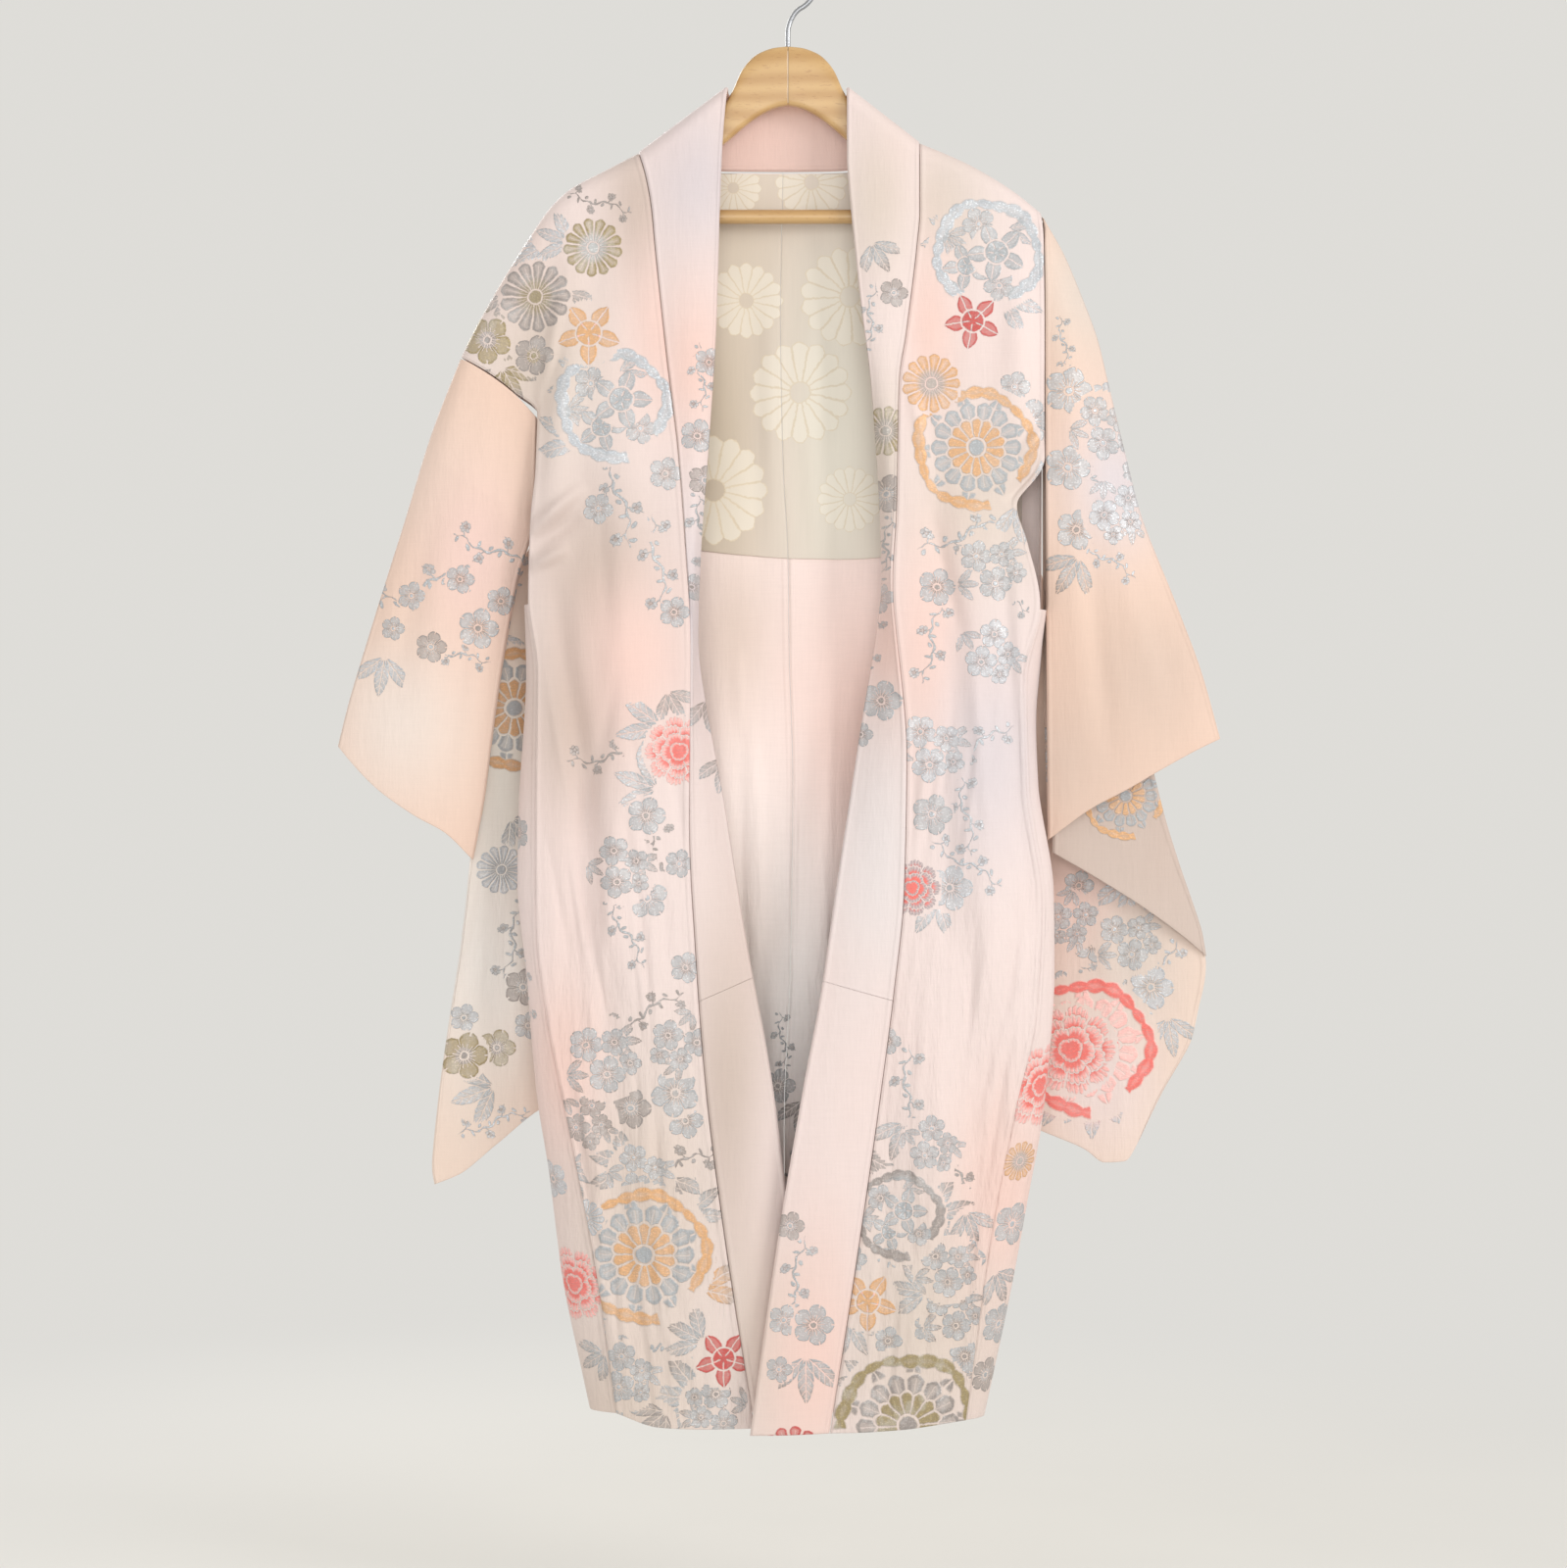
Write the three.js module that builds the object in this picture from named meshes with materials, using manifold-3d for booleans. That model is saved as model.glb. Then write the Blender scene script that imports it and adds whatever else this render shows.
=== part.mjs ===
// A silk haori (short kimono coat) hanging open on a wooden coat hanger.
//
// Units are millimetres and +Z is up. The origin is the inner top of the hook's
// bowl, where the rail that holds the hanger passes. -Y is the front of the coat,
// -X is the wearer's right side. Heights are given as "drop", the distance below
// the origin, so z = -drop.
//
// Every cloth piece is a thin wall on a patch between four edges. An edge is a
// short table of stations with the columns x, drop and y (depth), joined by a
// smooth curve. Neighbouring pieces share the table of the seam between them.

import * as THREE from 'three';
import Module from 'manifold-3d';
import { mergeVertices } from 'three/addons/utils/BufferGeometryUtils.js';

const wasm = await Module();
wasm.setup();

// ---------------------------------------------------------------- dimensions

const CLOTH = 1.6;           // two layers of silk: the coat is lined with itself
const LINING = 1.0;          // single satin lining of the upper back
const BAND = 3.0;            // collar band, folded cloth with its core
const SEAM = 0.3;            // gap between two pieces at a seam
const SHOULDER_GAP = 0.8;    // gap between front and back along the shoulder fold
const SHOULDER_ROLL = 12;    // drop in which the cloth turns over the hanger's arms

const WOOD_DEPTH = 12;       // hanger, front to back
const BAR_DIAMETER = 11.4;   // trouser bar
const BAR_DROP = 207;
const BAR_HALF = 168;        // centre to bar end, inside the arm
const BAR_HOLE = 12;         // its hole in each arm
const WIRE = 4;              // hook wire
const BOWL_RADIUS = 22.3;    // hook bowl, centre line
const HOOK_NECK_DROP = 71;   // where the wire enters the wood

// ----------------------------------------------------------------- materials

/** A cloth or wood finish from its colour, roughness and metalness. */
function finish(color, roughness, metalness = 0) {
  return new THREE.MeshStandardMaterial({ color, roughness, metalness });
}

const silk = () => finish(0xf3e0d7, 0.6);
const peachSilk = () => finish(0xf6d0ba, 0.6);
const satin = () => finish(0xe9e0cc, 0.45);
const wood = () => finish(0xd6ac76, 0.5);
const steel = () => finish(0x96989c, 0.3, 0.9);

// --------------------------------------------------------------- edge curves

/** Smooth value of a table's column at fraction t of the rows, without overshoot. */
function column(table, name, t) {
  const last = table.length - 1;
  const place = Math.min(Math.max(t, 0), 1) * last;
  const i = Math.min(Math.floor(place), last - 1);
  const f = place - i;
  const value = (k) => table[Math.min(Math.max(k, 0), last)][name];
  const slope = (k) => {
    const before = value(k) - value(k - 1);
    const after = value(k + 1) - value(k);
    return before * after <= 0 ? 0 : (2 * before * after) / (before + after);
  };
  const [a, b] = [value(i), value(i + 1)];
  const [sa, sb] = [i === 0 ? b - a : slope(i), i + 1 === last ? b - a : slope(i + 1)];
  const f2 = f * f;
  const f3 = f2 * f;
  return a * (2 * f3 - 3 * f2 + 1) + sa * (f3 - 2 * f2 + f) + b * (3 * f2 - 2 * f3) + sb * (f3 - f2);
}

/** An edge curve whose parameter runs evenly along the table's length. */
function edge(rows) {
  const steps = 8 * (rows.length - 1);
  const at = (t) => new THREE.Vector3(
    column(rows, 'x', t), column(rows, 'y', t), -column(rows, 'drop', t));
  const lengths = [0];
  for (let i = 1; i <= steps; i += 1) {
    lengths.push(lengths[i - 1] + at(i / steps).distanceTo(at((i - 1) / steps)));
  }
  return (s) => {
    const target = Math.min(Math.max(s, 0), 1) * lengths[steps];
    let i = 1;
    while (i < steps && lengths[i] < target) i += 1;
    const share = (target - lengths[i - 1]) / Math.max(lengths[i] - lengths[i - 1], 1e-9);
    return at((i - 1 + share) / steps);
  };
}

/** Rows of a table from [x, drop, y] triples. */
const stations = (...list) => list.map(([x, drop, y]) => ({ x, drop, y }));

/** The same table moved in depth, for a layer before or behind it. */
const shifted = (table, dy) => table.map((row) => ({ ...row, y: row.y + dy }));

/**
 * A patch between four edges (Coons' formula): the mean of the two rulings less
 * the corners' bilinear surface. u runs from `inner` to `outer`, v from `top`
 * to `bottom`. `relief(point, u, v)` gives the depth of its folds. With `fold`,
 * the table of a shoulder fold's own depths, the cloth starts at that depth and
 * turns over to the patch's.
 */
function patch({ top, bottom, inner, outer, relief = () => 0, fold = null }) {
  const [t, b, i, o] = [edge(top), edge(bottom), edge(inner), edge(outer)];
  const start = fold && edge(fold);
  return (u, v) => {
    const point = t(u).multiplyScalar(1 - v).add(b(u).multiplyScalar(v));
    point.add(i(v).multiplyScalar(1 - u)).add(o(v).multiplyScalar(u));
    point.sub(t(0).multiplyScalar((1 - u) * (1 - v))).sub(t(1).multiplyScalar(u * (1 - v)));
    point.sub(b(0).multiplyScalar((1 - u) * v)).sub(b(1).multiplyScalar(u * v));
    point.y += relief(point, u, v);
    if (fold) {
      const share = rollShare(t(u).z - point.z);
      point.y = start(u).y * (1 - share) + point.y * share;
    }
    return point;
  };
}

// -------------------------------------------------------------------- relief

/** Share of its full depth that cloth has reached at a distance below the shoulder fold. */
function rollShare(below) {
  const rest = 1 - Math.min(Math.max(below / SHOULDER_ROLL, 0), 1);
  return Math.sqrt(Math.max(1 - rest * rest, 0));
}

/** Soft ridges or troughs along lines, each fading out sideways and at its ends. */
function folds(table) {
  return (point) => {
    let depth = 0;
    for (const { x0, drop0, x1, drop1, width, height } of table) {
      const share = Math.min(Math.max((-point.z - drop0) / (drop1 - drop0), 0), 1);
      const away = (point.x - (x0 + (x1 - x0) * share)) / width;
      depth += height * Math.sin(Math.PI * share) * Math.exp(-away * away);
    }
    return depth;
  };
}

/** Zero on all four edges of a patch, one over its middle. */
const inside = (u, v) => Math.sin(Math.PI * u) ** 0.6 * Math.min(1, 8 * v, 8 * (1 - v));

// ------------------------------------------------------------- wall building

/**
 * A closed wall on a surface: a grid of points, moved half the thickness to each
 * side along the grid's normals, and a rim round the four edges.
 */
function wall(name, surface, { thickness = CLOTH, material = silk(), ...shape }) {
  return wallOn(name, gridOf(surface, shape), thickness, material);
}

/**
 * Points of a surface, in rows from top to bottom. `trim` holds the distances left
 * free at the inner, outer, top and bottom edge, and `crowd` above 1 sets the rows
 * closer at the top.
 */
function gridOf(surface, { across, along, span = [0, 1, 0, 1], crowd = 1, trim = {} }) {
  const { inner = SEAM / 2, outer = SEAM / 2, top = SEAM / 2, bottom = SEAM / 2 } = trim;
  const [u0, u1, v0, v1] = span;
  const amount = (value, v) => (typeof value === 'function' ? value(v) : value);
  const grid = [];
  for (let j = 0; j <= along; j += 1) {
    const row = [];
    for (let i = 0; i <= across; i += 1) {
      let u = u0 + (u1 - u0) * (i / across);
      let v = v0 + (v1 - v0) * (j / along) ** crowd;
      const width = surface(u0, v).distanceTo(surface(u1, v));
      const height = surface(u, v0).distanceTo(surface(u, v1));
      u += (u1 - u0) * (amount(inner, v) * (1 - i / across) - amount(outer, v) * (i / across)) / width;
      v += (v1 - v0) * (top * (1 - j / along) - bottom * (j / along)) / height;
      row.push(surface(u, v));
    }
    grid.push(row);
  }
  return grid;
}

/** A closed wall on a grid of points, `lift` away from it. */
function wallOn(name, grid, thickness, material, lift = 0) {
  const along = grid.length - 1;
  const across = grid[0].length - 1;
  const normal = (i, j) => {
    const east = grid[j][Math.min(i + 1, across)].clone().sub(grid[j][Math.max(i - 1, 0)]);
    const south = grid[Math.min(j + 1, along)][i].clone().sub(grid[Math.max(j - 1, 0)][i]);
    return east.cross(south).normalize();
  };
  const points = [];
  for (const side of [0.5, -0.5]) {
    for (let j = 0; j <= along; j += 1) {
      for (let i = 0; i <= across; i += 1) {
        const out = normal(i, j).multiplyScalar(side * thickness + lift);
        points.push(grid[j][i].clone().add(out));
      }
    }
  }
  const count = (across + 1) * (along + 1);
  const at = (i, j, back) => (back ? count : 0) + j * (across + 1) + i;
  const faces = [];
  const quad = (a, b, c, d) => faces.push(a, b, c, a, c, d);
  for (let j = 0; j < along; j += 1) {
    for (let i = 0; i < across; i += 1) {
      quad(at(i, j), at(i + 1, j), at(i + 1, j + 1), at(i, j + 1));
      quad(at(i, j, 1), at(i, j + 1, 1), at(i + 1, j + 1, 1), at(i + 1, j, 1));
    }
  }
  for (let i = 0; i < across; i += 1) {
    quad(at(i, 0), at(i, 0, 1), at(i + 1, 0, 1), at(i + 1, 0));
    quad(at(i, along), at(i + 1, along), at(i + 1, along, 1), at(i, along, 1));
  }
  for (let j = 0; j < along; j += 1) {
    quad(at(0, j), at(0, j + 1), at(0, j + 1, 1), at(0, j, 1));
    quad(at(across, j), at(across, j, 1), at(across, j + 1, 1), at(across, j + 1));
  }
  return solid(name, points, faces, material);
}

/** A named mesh from points and faces, turned right way out if its volume is negative. */
function solid(name, points, faces, material) {
  let volume = 0;
  for (let f = 0; f < faces.length; f += 3) {
    const [a, b, c] = [points[faces[f]], points[faces[f + 1]], points[faces[f + 2]]];
    volume += a.dot(b.clone().cross(c));
  }
  const turned = volume < 0
    ? faces.map((_, k) => faces[k - (k % 3) + [0, 2, 1][k % 3]])
    : faces;
  const geometry = new THREE.BufferGeometry().setFromPoints(points);
  geometry.setIndex(turned);
  geometry.computeVertexNormals();
  const mesh = new THREE.Mesh(geometry, material);
  mesh.name = name;
  return mesh;
}

// ------------------------------------------------------------- shared seams
// Columns: x, drop, y. "Right" is the wearer's right, at -X.

// shoulder folds, from the collar's seam out to the sleeve's seam
const SHOULDER_RIGHT = stations(
  [-119, 157, 0], [-146, 171, 0], [-174, 186, 0], [-189, 200, 0], [-204, 221, 0],
  [-220, 246, 0], [-235, 271, 0], [-250, 298, 0], [-261, 320, 0]);
const SHOULDER_LEFT = stations(
  [105, 149, 0], [122, 156, 0], [142, 165, 0], [160, 175, 0], [180, 188, 0], [201, 205, 0]);
const SHOULDER_DEPTH = 11;           // front and back are this far from the fold below it

// seams between collar band and front, from the shoulder down to the hem
const COLLAR_SEAM_RIGHT = stations(
  [-119, 157, -11], [-113, 178, -12], [-109, 200, -13], [-105, 241, -15], [-96, 324, -20],
  [-87, 397, -24], [-81, 474, -28], [-77, 555, -30], [-78, 689, -32], [-73, 796, -32],
  [-65, 901, -31], [-54, 991, -30], [-41, 1080, -28], [-26, 1172, -26]);
const COLLAR_SEAM_LEFT = stations(
  [105, 149, -11], [105, 172, -12], [105, 204, -13], [102, 239, -15], [94, 302, -19],
  [88, 345, -22], [86, 443, -27], [83, 505, -30], [94, 636, -33], [92, 743, -34],
  [84, 824, -35], [74, 901, -36], [58, 1013, -37], [44, 1105, -36], [33, 1174, -35]);

// free, folded edges of the collar bands
const COLLAR_FOLD_RIGHT = stations(
  [-48, 104, -10], [-50, 124, -11], [-52, 150, -12], [-54, 200, -14], [-57, 300, -18],
  [-63, 390, -20], [-70, 474, -16], [-73, 545, 0], [-50, 682, -7], [-33, 785, -17],
  [-13, 893, -24], [-1, 983, -26], [14, 1075, -25], [28, 1172, -23]);
const COLLAR_FOLD_LEFT = stations(
  [47, 104, -10], [47, 128, -11], [47, 160, -12], [50, 202, -14], [58, 279, -17],
  [66, 340, -19], [74, 443, -10], [76, 497, -2], [56, 630, -14], [38, 745, -24],
  [26, 826, -30], [12, 901, -35], [-7, 1013, -40], [-20, 1102, -41], [-30, 1175, -40]);

// armhole edges and sleeve seams of the fronts, then the seams to the gussets
const FRONT_SIDE_RIGHT = stations(
  [-261, 320, -11], [-236, 335, -11], [-218, 349, -12], [-199, 368, -16], [-200, 412, -24],
  [-204, 452, -27], [-206, 515, -27], [-199, 577, -28], [-200, 693, -30], [-199, 780, -30],
  [-192, 840, -30], [-168, 961, -30], [-152, 1047, -28], [-136, 1160, -26]);
const FRONT_SIDE_LEFT = stations(
  [201, 205, -11], [203, 230, -12], [204, 300, -16], [204, 400, -20], [182, 440, -22],
  [190, 470, -26], [200, 520, -28], [187, 580, -30], [189, 665, -30], [201, 755, -30],
  [197, 840, -31], [180, 920, -31], [162, 1012, -30], [141, 1165, -28]);

// edges of the backs at the armholes and gussets
const BACK_SIDE_RIGHT = stations(
  [-261, 320, 11], [-236, 335, 11], [-218, 349, 11], [-199, 368, 12], [-198, 412, 13],
  [-200, 452, 13], [-201, 515, 13], [-196, 577, 13], [-200, 693, 13], [-194, 812, 13],
  [-172, 961, 13], [-158, 1047, 13], [-145, 1160, 13]);
const BACK_SIDE_LEFT = stations(
  [201, 205, 11], [203, 230, 12], [203, 300, 13], [203, 400, 14], [201, 450, 14],
  [201, 520, 14], [196, 600, 14], [194, 700, 14], [199, 800, 14], [190, 900, 14],
  [166, 1012, 14], [146, 1165, 14]);

// middle of the back, and the two necks with the shoulder folds behind
const CENTRE_BACK = stations(
  [-4, 169, 20], [-6, 284, 23], [-4, 399, 25], [0, 476, 26], [1, 555, 26], [4, 662, 27],
  [2, 810, 27], [-3, 942, 27], [-1, 1168, 26]);
const NECK_RIGHT = stations(
  [-4, 169, 20], [-30, 169, 19], [-62, 169, 17], [-92, 168, 14], [-110, 166, 11.5], [-117, 162, 8]);
const NECK_LEFT = stations(
  [-4, 169, 20], [28, 169, 19], [56, 168, 17], [84, 164, 14], [98, 159, 11.5], [104, 154, 8]);

// hems, from the middle to the side
const HEM_FRONT_RIGHT = stations([-26, 1172, -26], [-60, 1172, -30], [-101, 1170, -33], [-136, 1160, -26]);
const HEM_FRONT_LEFT = stations([33, 1174, -35], [60, 1173, -37], [90, 1171, -37], [141, 1165, -28]);
const HEM_BACK_RIGHT = stations([-1, 1168, 26], [-50, 1170, 30], [-100, 1168, 24], [-145, 1160, 13]);
const HEM_BACK_LEFT = stations([-1, 1168, 26], [50, 1170, 30], [100, 1168, 26], [146, 1165, 14]);

// ------------------------------------------------------------- fold tables
// Columns: x0, drop0 (upper end), x1, drop1 (lower end), width, height (-Y is outwards).

const ridge = (x0, drop0, x1, drop1, width, height) => ({ x0, drop0, x1, drop1, width, height });

const FOLDS_FRONT_RIGHT = [
  ridge(-172, 190, -192, 520, 16, -9),
  ridge(-138, 250, -118, 900, 24, -6),
  ridge(-150, 540, -172, 860, 15, 5),
  ridge(-100, 700, -92, 1175, 18, -5),
  ridge(-150, 800, -118, 1190, 16, 5),
];
const FOLDS_FRONT_LEFT = [
  ridge(186, 200, 184, 430, 14, -7),
  ridge(100, 300, 156, 760, 17, 6),
  ridge(128, 420, 170, 900, 20, -6),
  ridge(120, 760, 96, 1190, 18, -5),
  ridge(166, 800, 124, 1190, 14, 4),
];
const FOLDS_BACK_RIGHT = [
  ridge(-168, 200, -150, 700, 22, 7),
  ridge(-60, 240, -48, 900, 22, -5),
  ridge(-110, 450, -96, 1190, 20, 6),
  ridge(-160, 640, -130, 1190, 14, -4),
];
const FOLDS_BACK_LEFT = [
  ridge(176, 200, 158, 640, 22, 7),
  ridge(70, 260, 52, 1000, 24, -5),
  ridge(120, 380, 104, 1190, 20, 6),
  ridge(166, 700, 132, 1190, 14, -4),
];

// -------------------------------------------------------------------- panels

/** Depth of a front's or back's folds, fading to none at its four edges. */
function panelRelief(foldTable) {
  const crease = folds(foldTable);
  return (point, u, v) => crease(point) * inside(u, v);
}

/** A table with every depth replaced, or kept where it is already deeper. */
const atDepth = (table, y) => table.map((row) => ({ ...row, y }));
const atLeast = (table, y) => table.map((row) => ({ ...row, y: Math.max(row.y, y) }));

/** A front panel, from its shoulder fold down. */
const front = (shoulder, hem, inner, outer, foldTable) => patch({
  top: atDepth(shoulder, -SHOULDER_DEPTH), bottom: hem, inner, outer,
  relief: panelRelief(foldTable), fold: atDepth(shoulder, -SHOULDER_GAP / 2),
});

/** A back panel, from its neck edge and shoulder fold down. */
function back(neck, shoulder, hem, outer, foldTable) {
  const top = [...neck, ...atDepth(shoulder, SHOULDER_GAP / 2)];
  return patch({
    top: atLeast(top, SHOULDER_DEPTH), bottom: hem, inner: CENTRE_BACK, outer,
    relief: panelRelief(foldTable), fold: top,
  });
}

const frontRight = front(
  SHOULDER_RIGHT, HEM_FRONT_RIGHT, COLLAR_SEAM_RIGHT, FRONT_SIDE_RIGHT, FOLDS_FRONT_RIGHT);
const frontLeft = front(
  SHOULDER_LEFT, HEM_FRONT_LEFT, COLLAR_SEAM_LEFT, FRONT_SIDE_LEFT, FOLDS_FRONT_LEFT);
const backRight = back(
  NECK_RIGHT, SHOULDER_RIGHT, HEM_BACK_RIGHT, BACK_SIDE_RIGHT, FOLDS_BACK_RIGHT);
const backLeft = back(
  NECK_LEFT, SHOULDER_LEFT, HEM_BACK_LEFT, BACK_SIDE_LEFT, FOLDS_BACK_LEFT);

/** The part of an edge curve below a drop, as a curve of its own. */
function below(rows, drop) {
  const curve = edge(rows);
  let [low, high] = [0, 1];
  for (let i = 0; i < 30; i += 1) {
    const middle = (low + high) / 2;
    if (-curve(middle).z < drop) low = middle; else high = middle;
  }
  return (v) => curve(low + (1 - low) * v);
}

/**
 * A gusset between a front's and a back's side edge: each row is a parabola from
 * seam to seam over the gusset's outermost fold, a table of drop and x.
 */
function gusset(frontSide, backSide, folded) {
  const [front, back] = [below(frontSide, folded[0].drop), below(backSide, folded[0].drop)];
  const fold = edge(folded.map((row) => ({ ...row, y: 0 })));
  return (u, v) => {
    const [a, b] = [front(v), back(v)];
    const middle = a.clone().add(b).divideScalar(2);
    const pull = middle.clone();
    pull.x = 2 * fold(v).x - middle.x;
    const point = a.multiplyScalar((1 - u) ** 2).add(b.multiplyScalar(u * u));
    return point.add(pull.multiplyScalar(2 * u * (1 - u)));
  };
}

const foldPoint = (x, drop) => ({ x, drop });
const GUSSET_FOLD_RIGHT = [
  foldPoint(-209, 518), foldPoint(-208, 577), foldPoint(-214, 680), foldPoint(-215, 740),
  foldPoint(-208, 812), foldPoint(-200, 907), foldPoint(-190, 971), foldPoint(-179, 1058),
  foldPoint(-165, 1125), foldPoint(-157, 1161)];
const GUSSET_FOLD_LEFT = [
  foldPoint(206, 522), foldPoint(201, 560), foldPoint(197, 610), foldPoint(199, 661),
  foldPoint(211, 744), foldPoint(212, 810), foldPoint(204, 915), foldPoint(191, 991),
  foldPoint(177, 1066), foldPoint(156, 1163)];
const GUSSET_FREE = CLOTH / 2 + 1.5 * SEAM;

// --------------------------------------------------------------- collar band

/**
 * A front band between its seam and its folded edge, bowed forward by `bow` and
 * turned over the shoulder fold like the front it is sewn to.
 */
function frontBand(seam, fold, bow) {
  const [a, b] = [edge(seam), edge(fold)];
  const line = (u, v) => a(v).multiplyScalar(1 - u).add(b(v).multiplyScalar(u));
  return (u, v) => {
    const point = line(u, v);
    point.y -= bow * Math.sin(Math.PI * u);
    const share = rollShare(line(u, 0).z - point.z);
    point.y = -(SHOULDER_GAP / 2) * (1 - share) + point.y * share;
    return point;
  };
}

/** Room a turned band needs at its seam: half its thickness times the sine of its turn. */
function seamRoom(surface) {
  return (v) => {
    const chord = surface(1, v).sub(surface(0, v));
    return 2 * SEAM + ((BAND + 2 * CLOTH) / 2) * Math.abs(chord.y) / chord.length();
  };
}

const collarRight = frontBand(COLLAR_SEAM_RIGHT, COLLAR_FOLD_RIGHT, 3);
const collarLeft = frontBand(COLLAR_SEAM_LEFT, COLLAR_FOLD_LEFT, 3);
const COLLAR_JOINT = 0.665;          // share of the band's length at its cross seam
const COLLAR_TOP_ROOM = 1.2;         // the thick band's end, clear of the back's band

// back of the collar: from the right shoulder behind the neck to the left one
const COLLAR_BACK_SEAM = stations(
  [-119, 157, 0.4], [-117, 159, 9], [-110, 163, 12], [-92, 166, 14], [-62, 168, 17],
  [-30, 168, 19], [0, 168, 20], [28, 168, 19], [56, 167, 17], [84, 162, 14],
  [98, 156, 12], [104, 151, 9], [105, 149, 0.4]);
const COLLAR_BACK_FOLD = stations(
  [-48, 104, 0.4], [-48, 105, 9], [-46, 108, 12], [-40, 110, 14], [-30, 111, 15],
  [-15, 112, 16], [0, 112, 16], [15, 112, 16], [30, 111, 15], [40, 110, 14],
  [46, 108, 12], [48, 105, 9], [47, 104, 0.4]);
const backBandEdges = [edge(COLLAR_BACK_SEAM), edge(COLLAR_BACK_FOLD)];
const collarBack = (u, v) => backBandEdges[0](v).lerp(backBandEdges[1](v), u);

// lining: on the inside of the backs, from the neck to its hem
const LINING_INSIDE = CLOTH / 2 + SEAM + LINING / 2;
const LINING_COLUMNS = 11;           // of the backs' 12 cells across
const LINING_ROWS = 11;              // of the backs' 24 cells down

// ------------------------------------------------------------------- sleeves

/** A layer's belly: none at its two long edges, full between them. */
const belly = (depth) => (point, u, v) => depth * Math.sin(Math.PI * u) ** 0.7 * Math.min(1, 4 * v);

/** One layer of a sleeve between its edges, moved `offset` from its fold lines. */
function layer({ top, bottom, inner, outer }, depth, offset) {
  return patch({
    top: shifted(top, offset), bottom: shifted(bottom, offset),
    inner: shifted(inner, offset), outer: shifted(outer, offset), relief: belly(depth),
  });
}

const LAYER = 0.98;                  // half the spacing of two layers on a folded edge
const BAG_LAYER = 1.3;               // the same in the fuller lower parts

// wearer's right sleeve: armhole seam, top fold, wrist opening, inner fold
const SLEEVE_RIGHT = {
  outer: stations([-261.5, 320.8, 0], [-285, 381, 1], [-307, 452, 2], [-331, 528, 2],
    [-352, 598, 1], [-360, 631, 0]),
  bottom: stations([-252, 722, 0], [-274, 700, 0], [-297, 687, 0], [-328, 665, 0],
    [-348, 645, 0], [-360, 631, 0]),
};
const sleeveRightFront = layer({
  ...SLEEVE_RIGHT,
  top: stations([-201.5, 369.8, -13], [-218.6, 350, -11], [-236.5, 336, -10], [-251, 326.8, -9],
    [-258, 322.6, -5.5], [-261.5, 320.8, 0]),
  inner: stations([-201.5, 369.8, -13], [-201, 412, -13], [-202, 452, -10], [-216, 500, -5],
    [-230, 577, 0], [-244, 680, 0], [-252, 722, 0]),
}, -10, -LAYER);
const sleeveRightBack = layer({
  ...SLEEVE_RIGHT,
  top: stations([-201.5, 369.8, 11], [-218.6, 350, 10], [-236.5, 336, 10], [-251, 326.8, 9],
    [-258, 322.6, 5.5], [-261.5, 320.8, 0]),
  inner: stations([-201.5, 369.8, 11], [-203, 412, 8], [-206, 452, 3], [-216, 500, 0],
    [-230, 577, 0], [-244, 680, 0], [-252, 722, 0]),
}, 7, LAYER);

// its lower part, turned behind along the inner fold and hanging straight
const BAG_RIGHT = {
  top: stations([-192, 462, 24], [-200, 470, 21], [-209, 490, 15], [-222, 540, 6.5],
    [-240, 630, 5.5], [-254, 722, 5.4]),
  outer: stations([-254, 722, 5.4], [-262, 788, 9], [-272, 848, 15], [-281, 907, 20],
    [-287, 968, 20], [-285, 984, 20]),
  bottom: stations([-138, 905, 34], [-168, 909, 32], [-200, 924, 28], [-235, 952, 25],
    [-265, 976, 22], [-285, 984, 20]),
  inner: stations([-192, 462, 24], [-181, 600, 33], [-158, 760, 36], [-138, 905, 34]),
};
const bagRightFront = layer(BAG_RIGHT, -2, -BAG_LAYER);
const bagRightBack = layer(BAG_RIGHT, 12, BAG_LAYER);

// wearer's left sleeve: its armhole seam hangs straight from the end of the hanger
const SLEEVE_LEFT = {
  top: stations([205, 213, 0], [205, 210, 0], [203, 207, 0]),
  outer: stations([203, 207, 0], [220, 236, 0], [235, 271, 0], [248, 306, 1], [257, 343, 1],
    [271, 400, 2], [282, 443, 2], [311, 517, 2], [331, 571, 1], [346, 625, 0]),
  bottom: stations([208, 706, 0], [242, 681, 0], [270, 666, 0], [294, 652, 0], [327, 634, 0],
    [346, 625, 0]),
};
const sleeveLeftFront = layer({
  ...SLEEVE_LEFT,
  inner: stations([205, 213, 0], [205.5, 230, -11], [206, 300, -15], [206, 400, -19],
    [206, 540, -9], [208, 706, 0]),
}, -9, -LAYER);
const sleeveLeftBack = layer({
  ...SLEEVE_LEFT,
  inner: stations([205, 213, 0], [205.5, 230, 9], [206, 300, 12], [206, 400, 12],
    [206, 540, 8], [208, 706, 0]),
}, 5, LAYER);

// the corner of its wrist opening, folded over the lower part behind
const CORNER_LEFT = {
  top: stations([212, 700, 3.8], [250, 674, 8.2], [293, 648, 7.8]),
  outer: stations([293, 648, 7.8], [304, 690, 10.5], [314, 722, 12], [334, 782, 14.4], [337, 800, 14.6]),
  bottom: stations([212, 716, 6], [240, 732, 7], [285, 760, 8], [318, 784, 11], [337, 800, 14.6]),
  inner: stations([212, 700, 3.8], [212, 708, 5], [212, 716, 6]),
};
const cornerLeft = layer(CORNER_LEFT, 0, 0);

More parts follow.
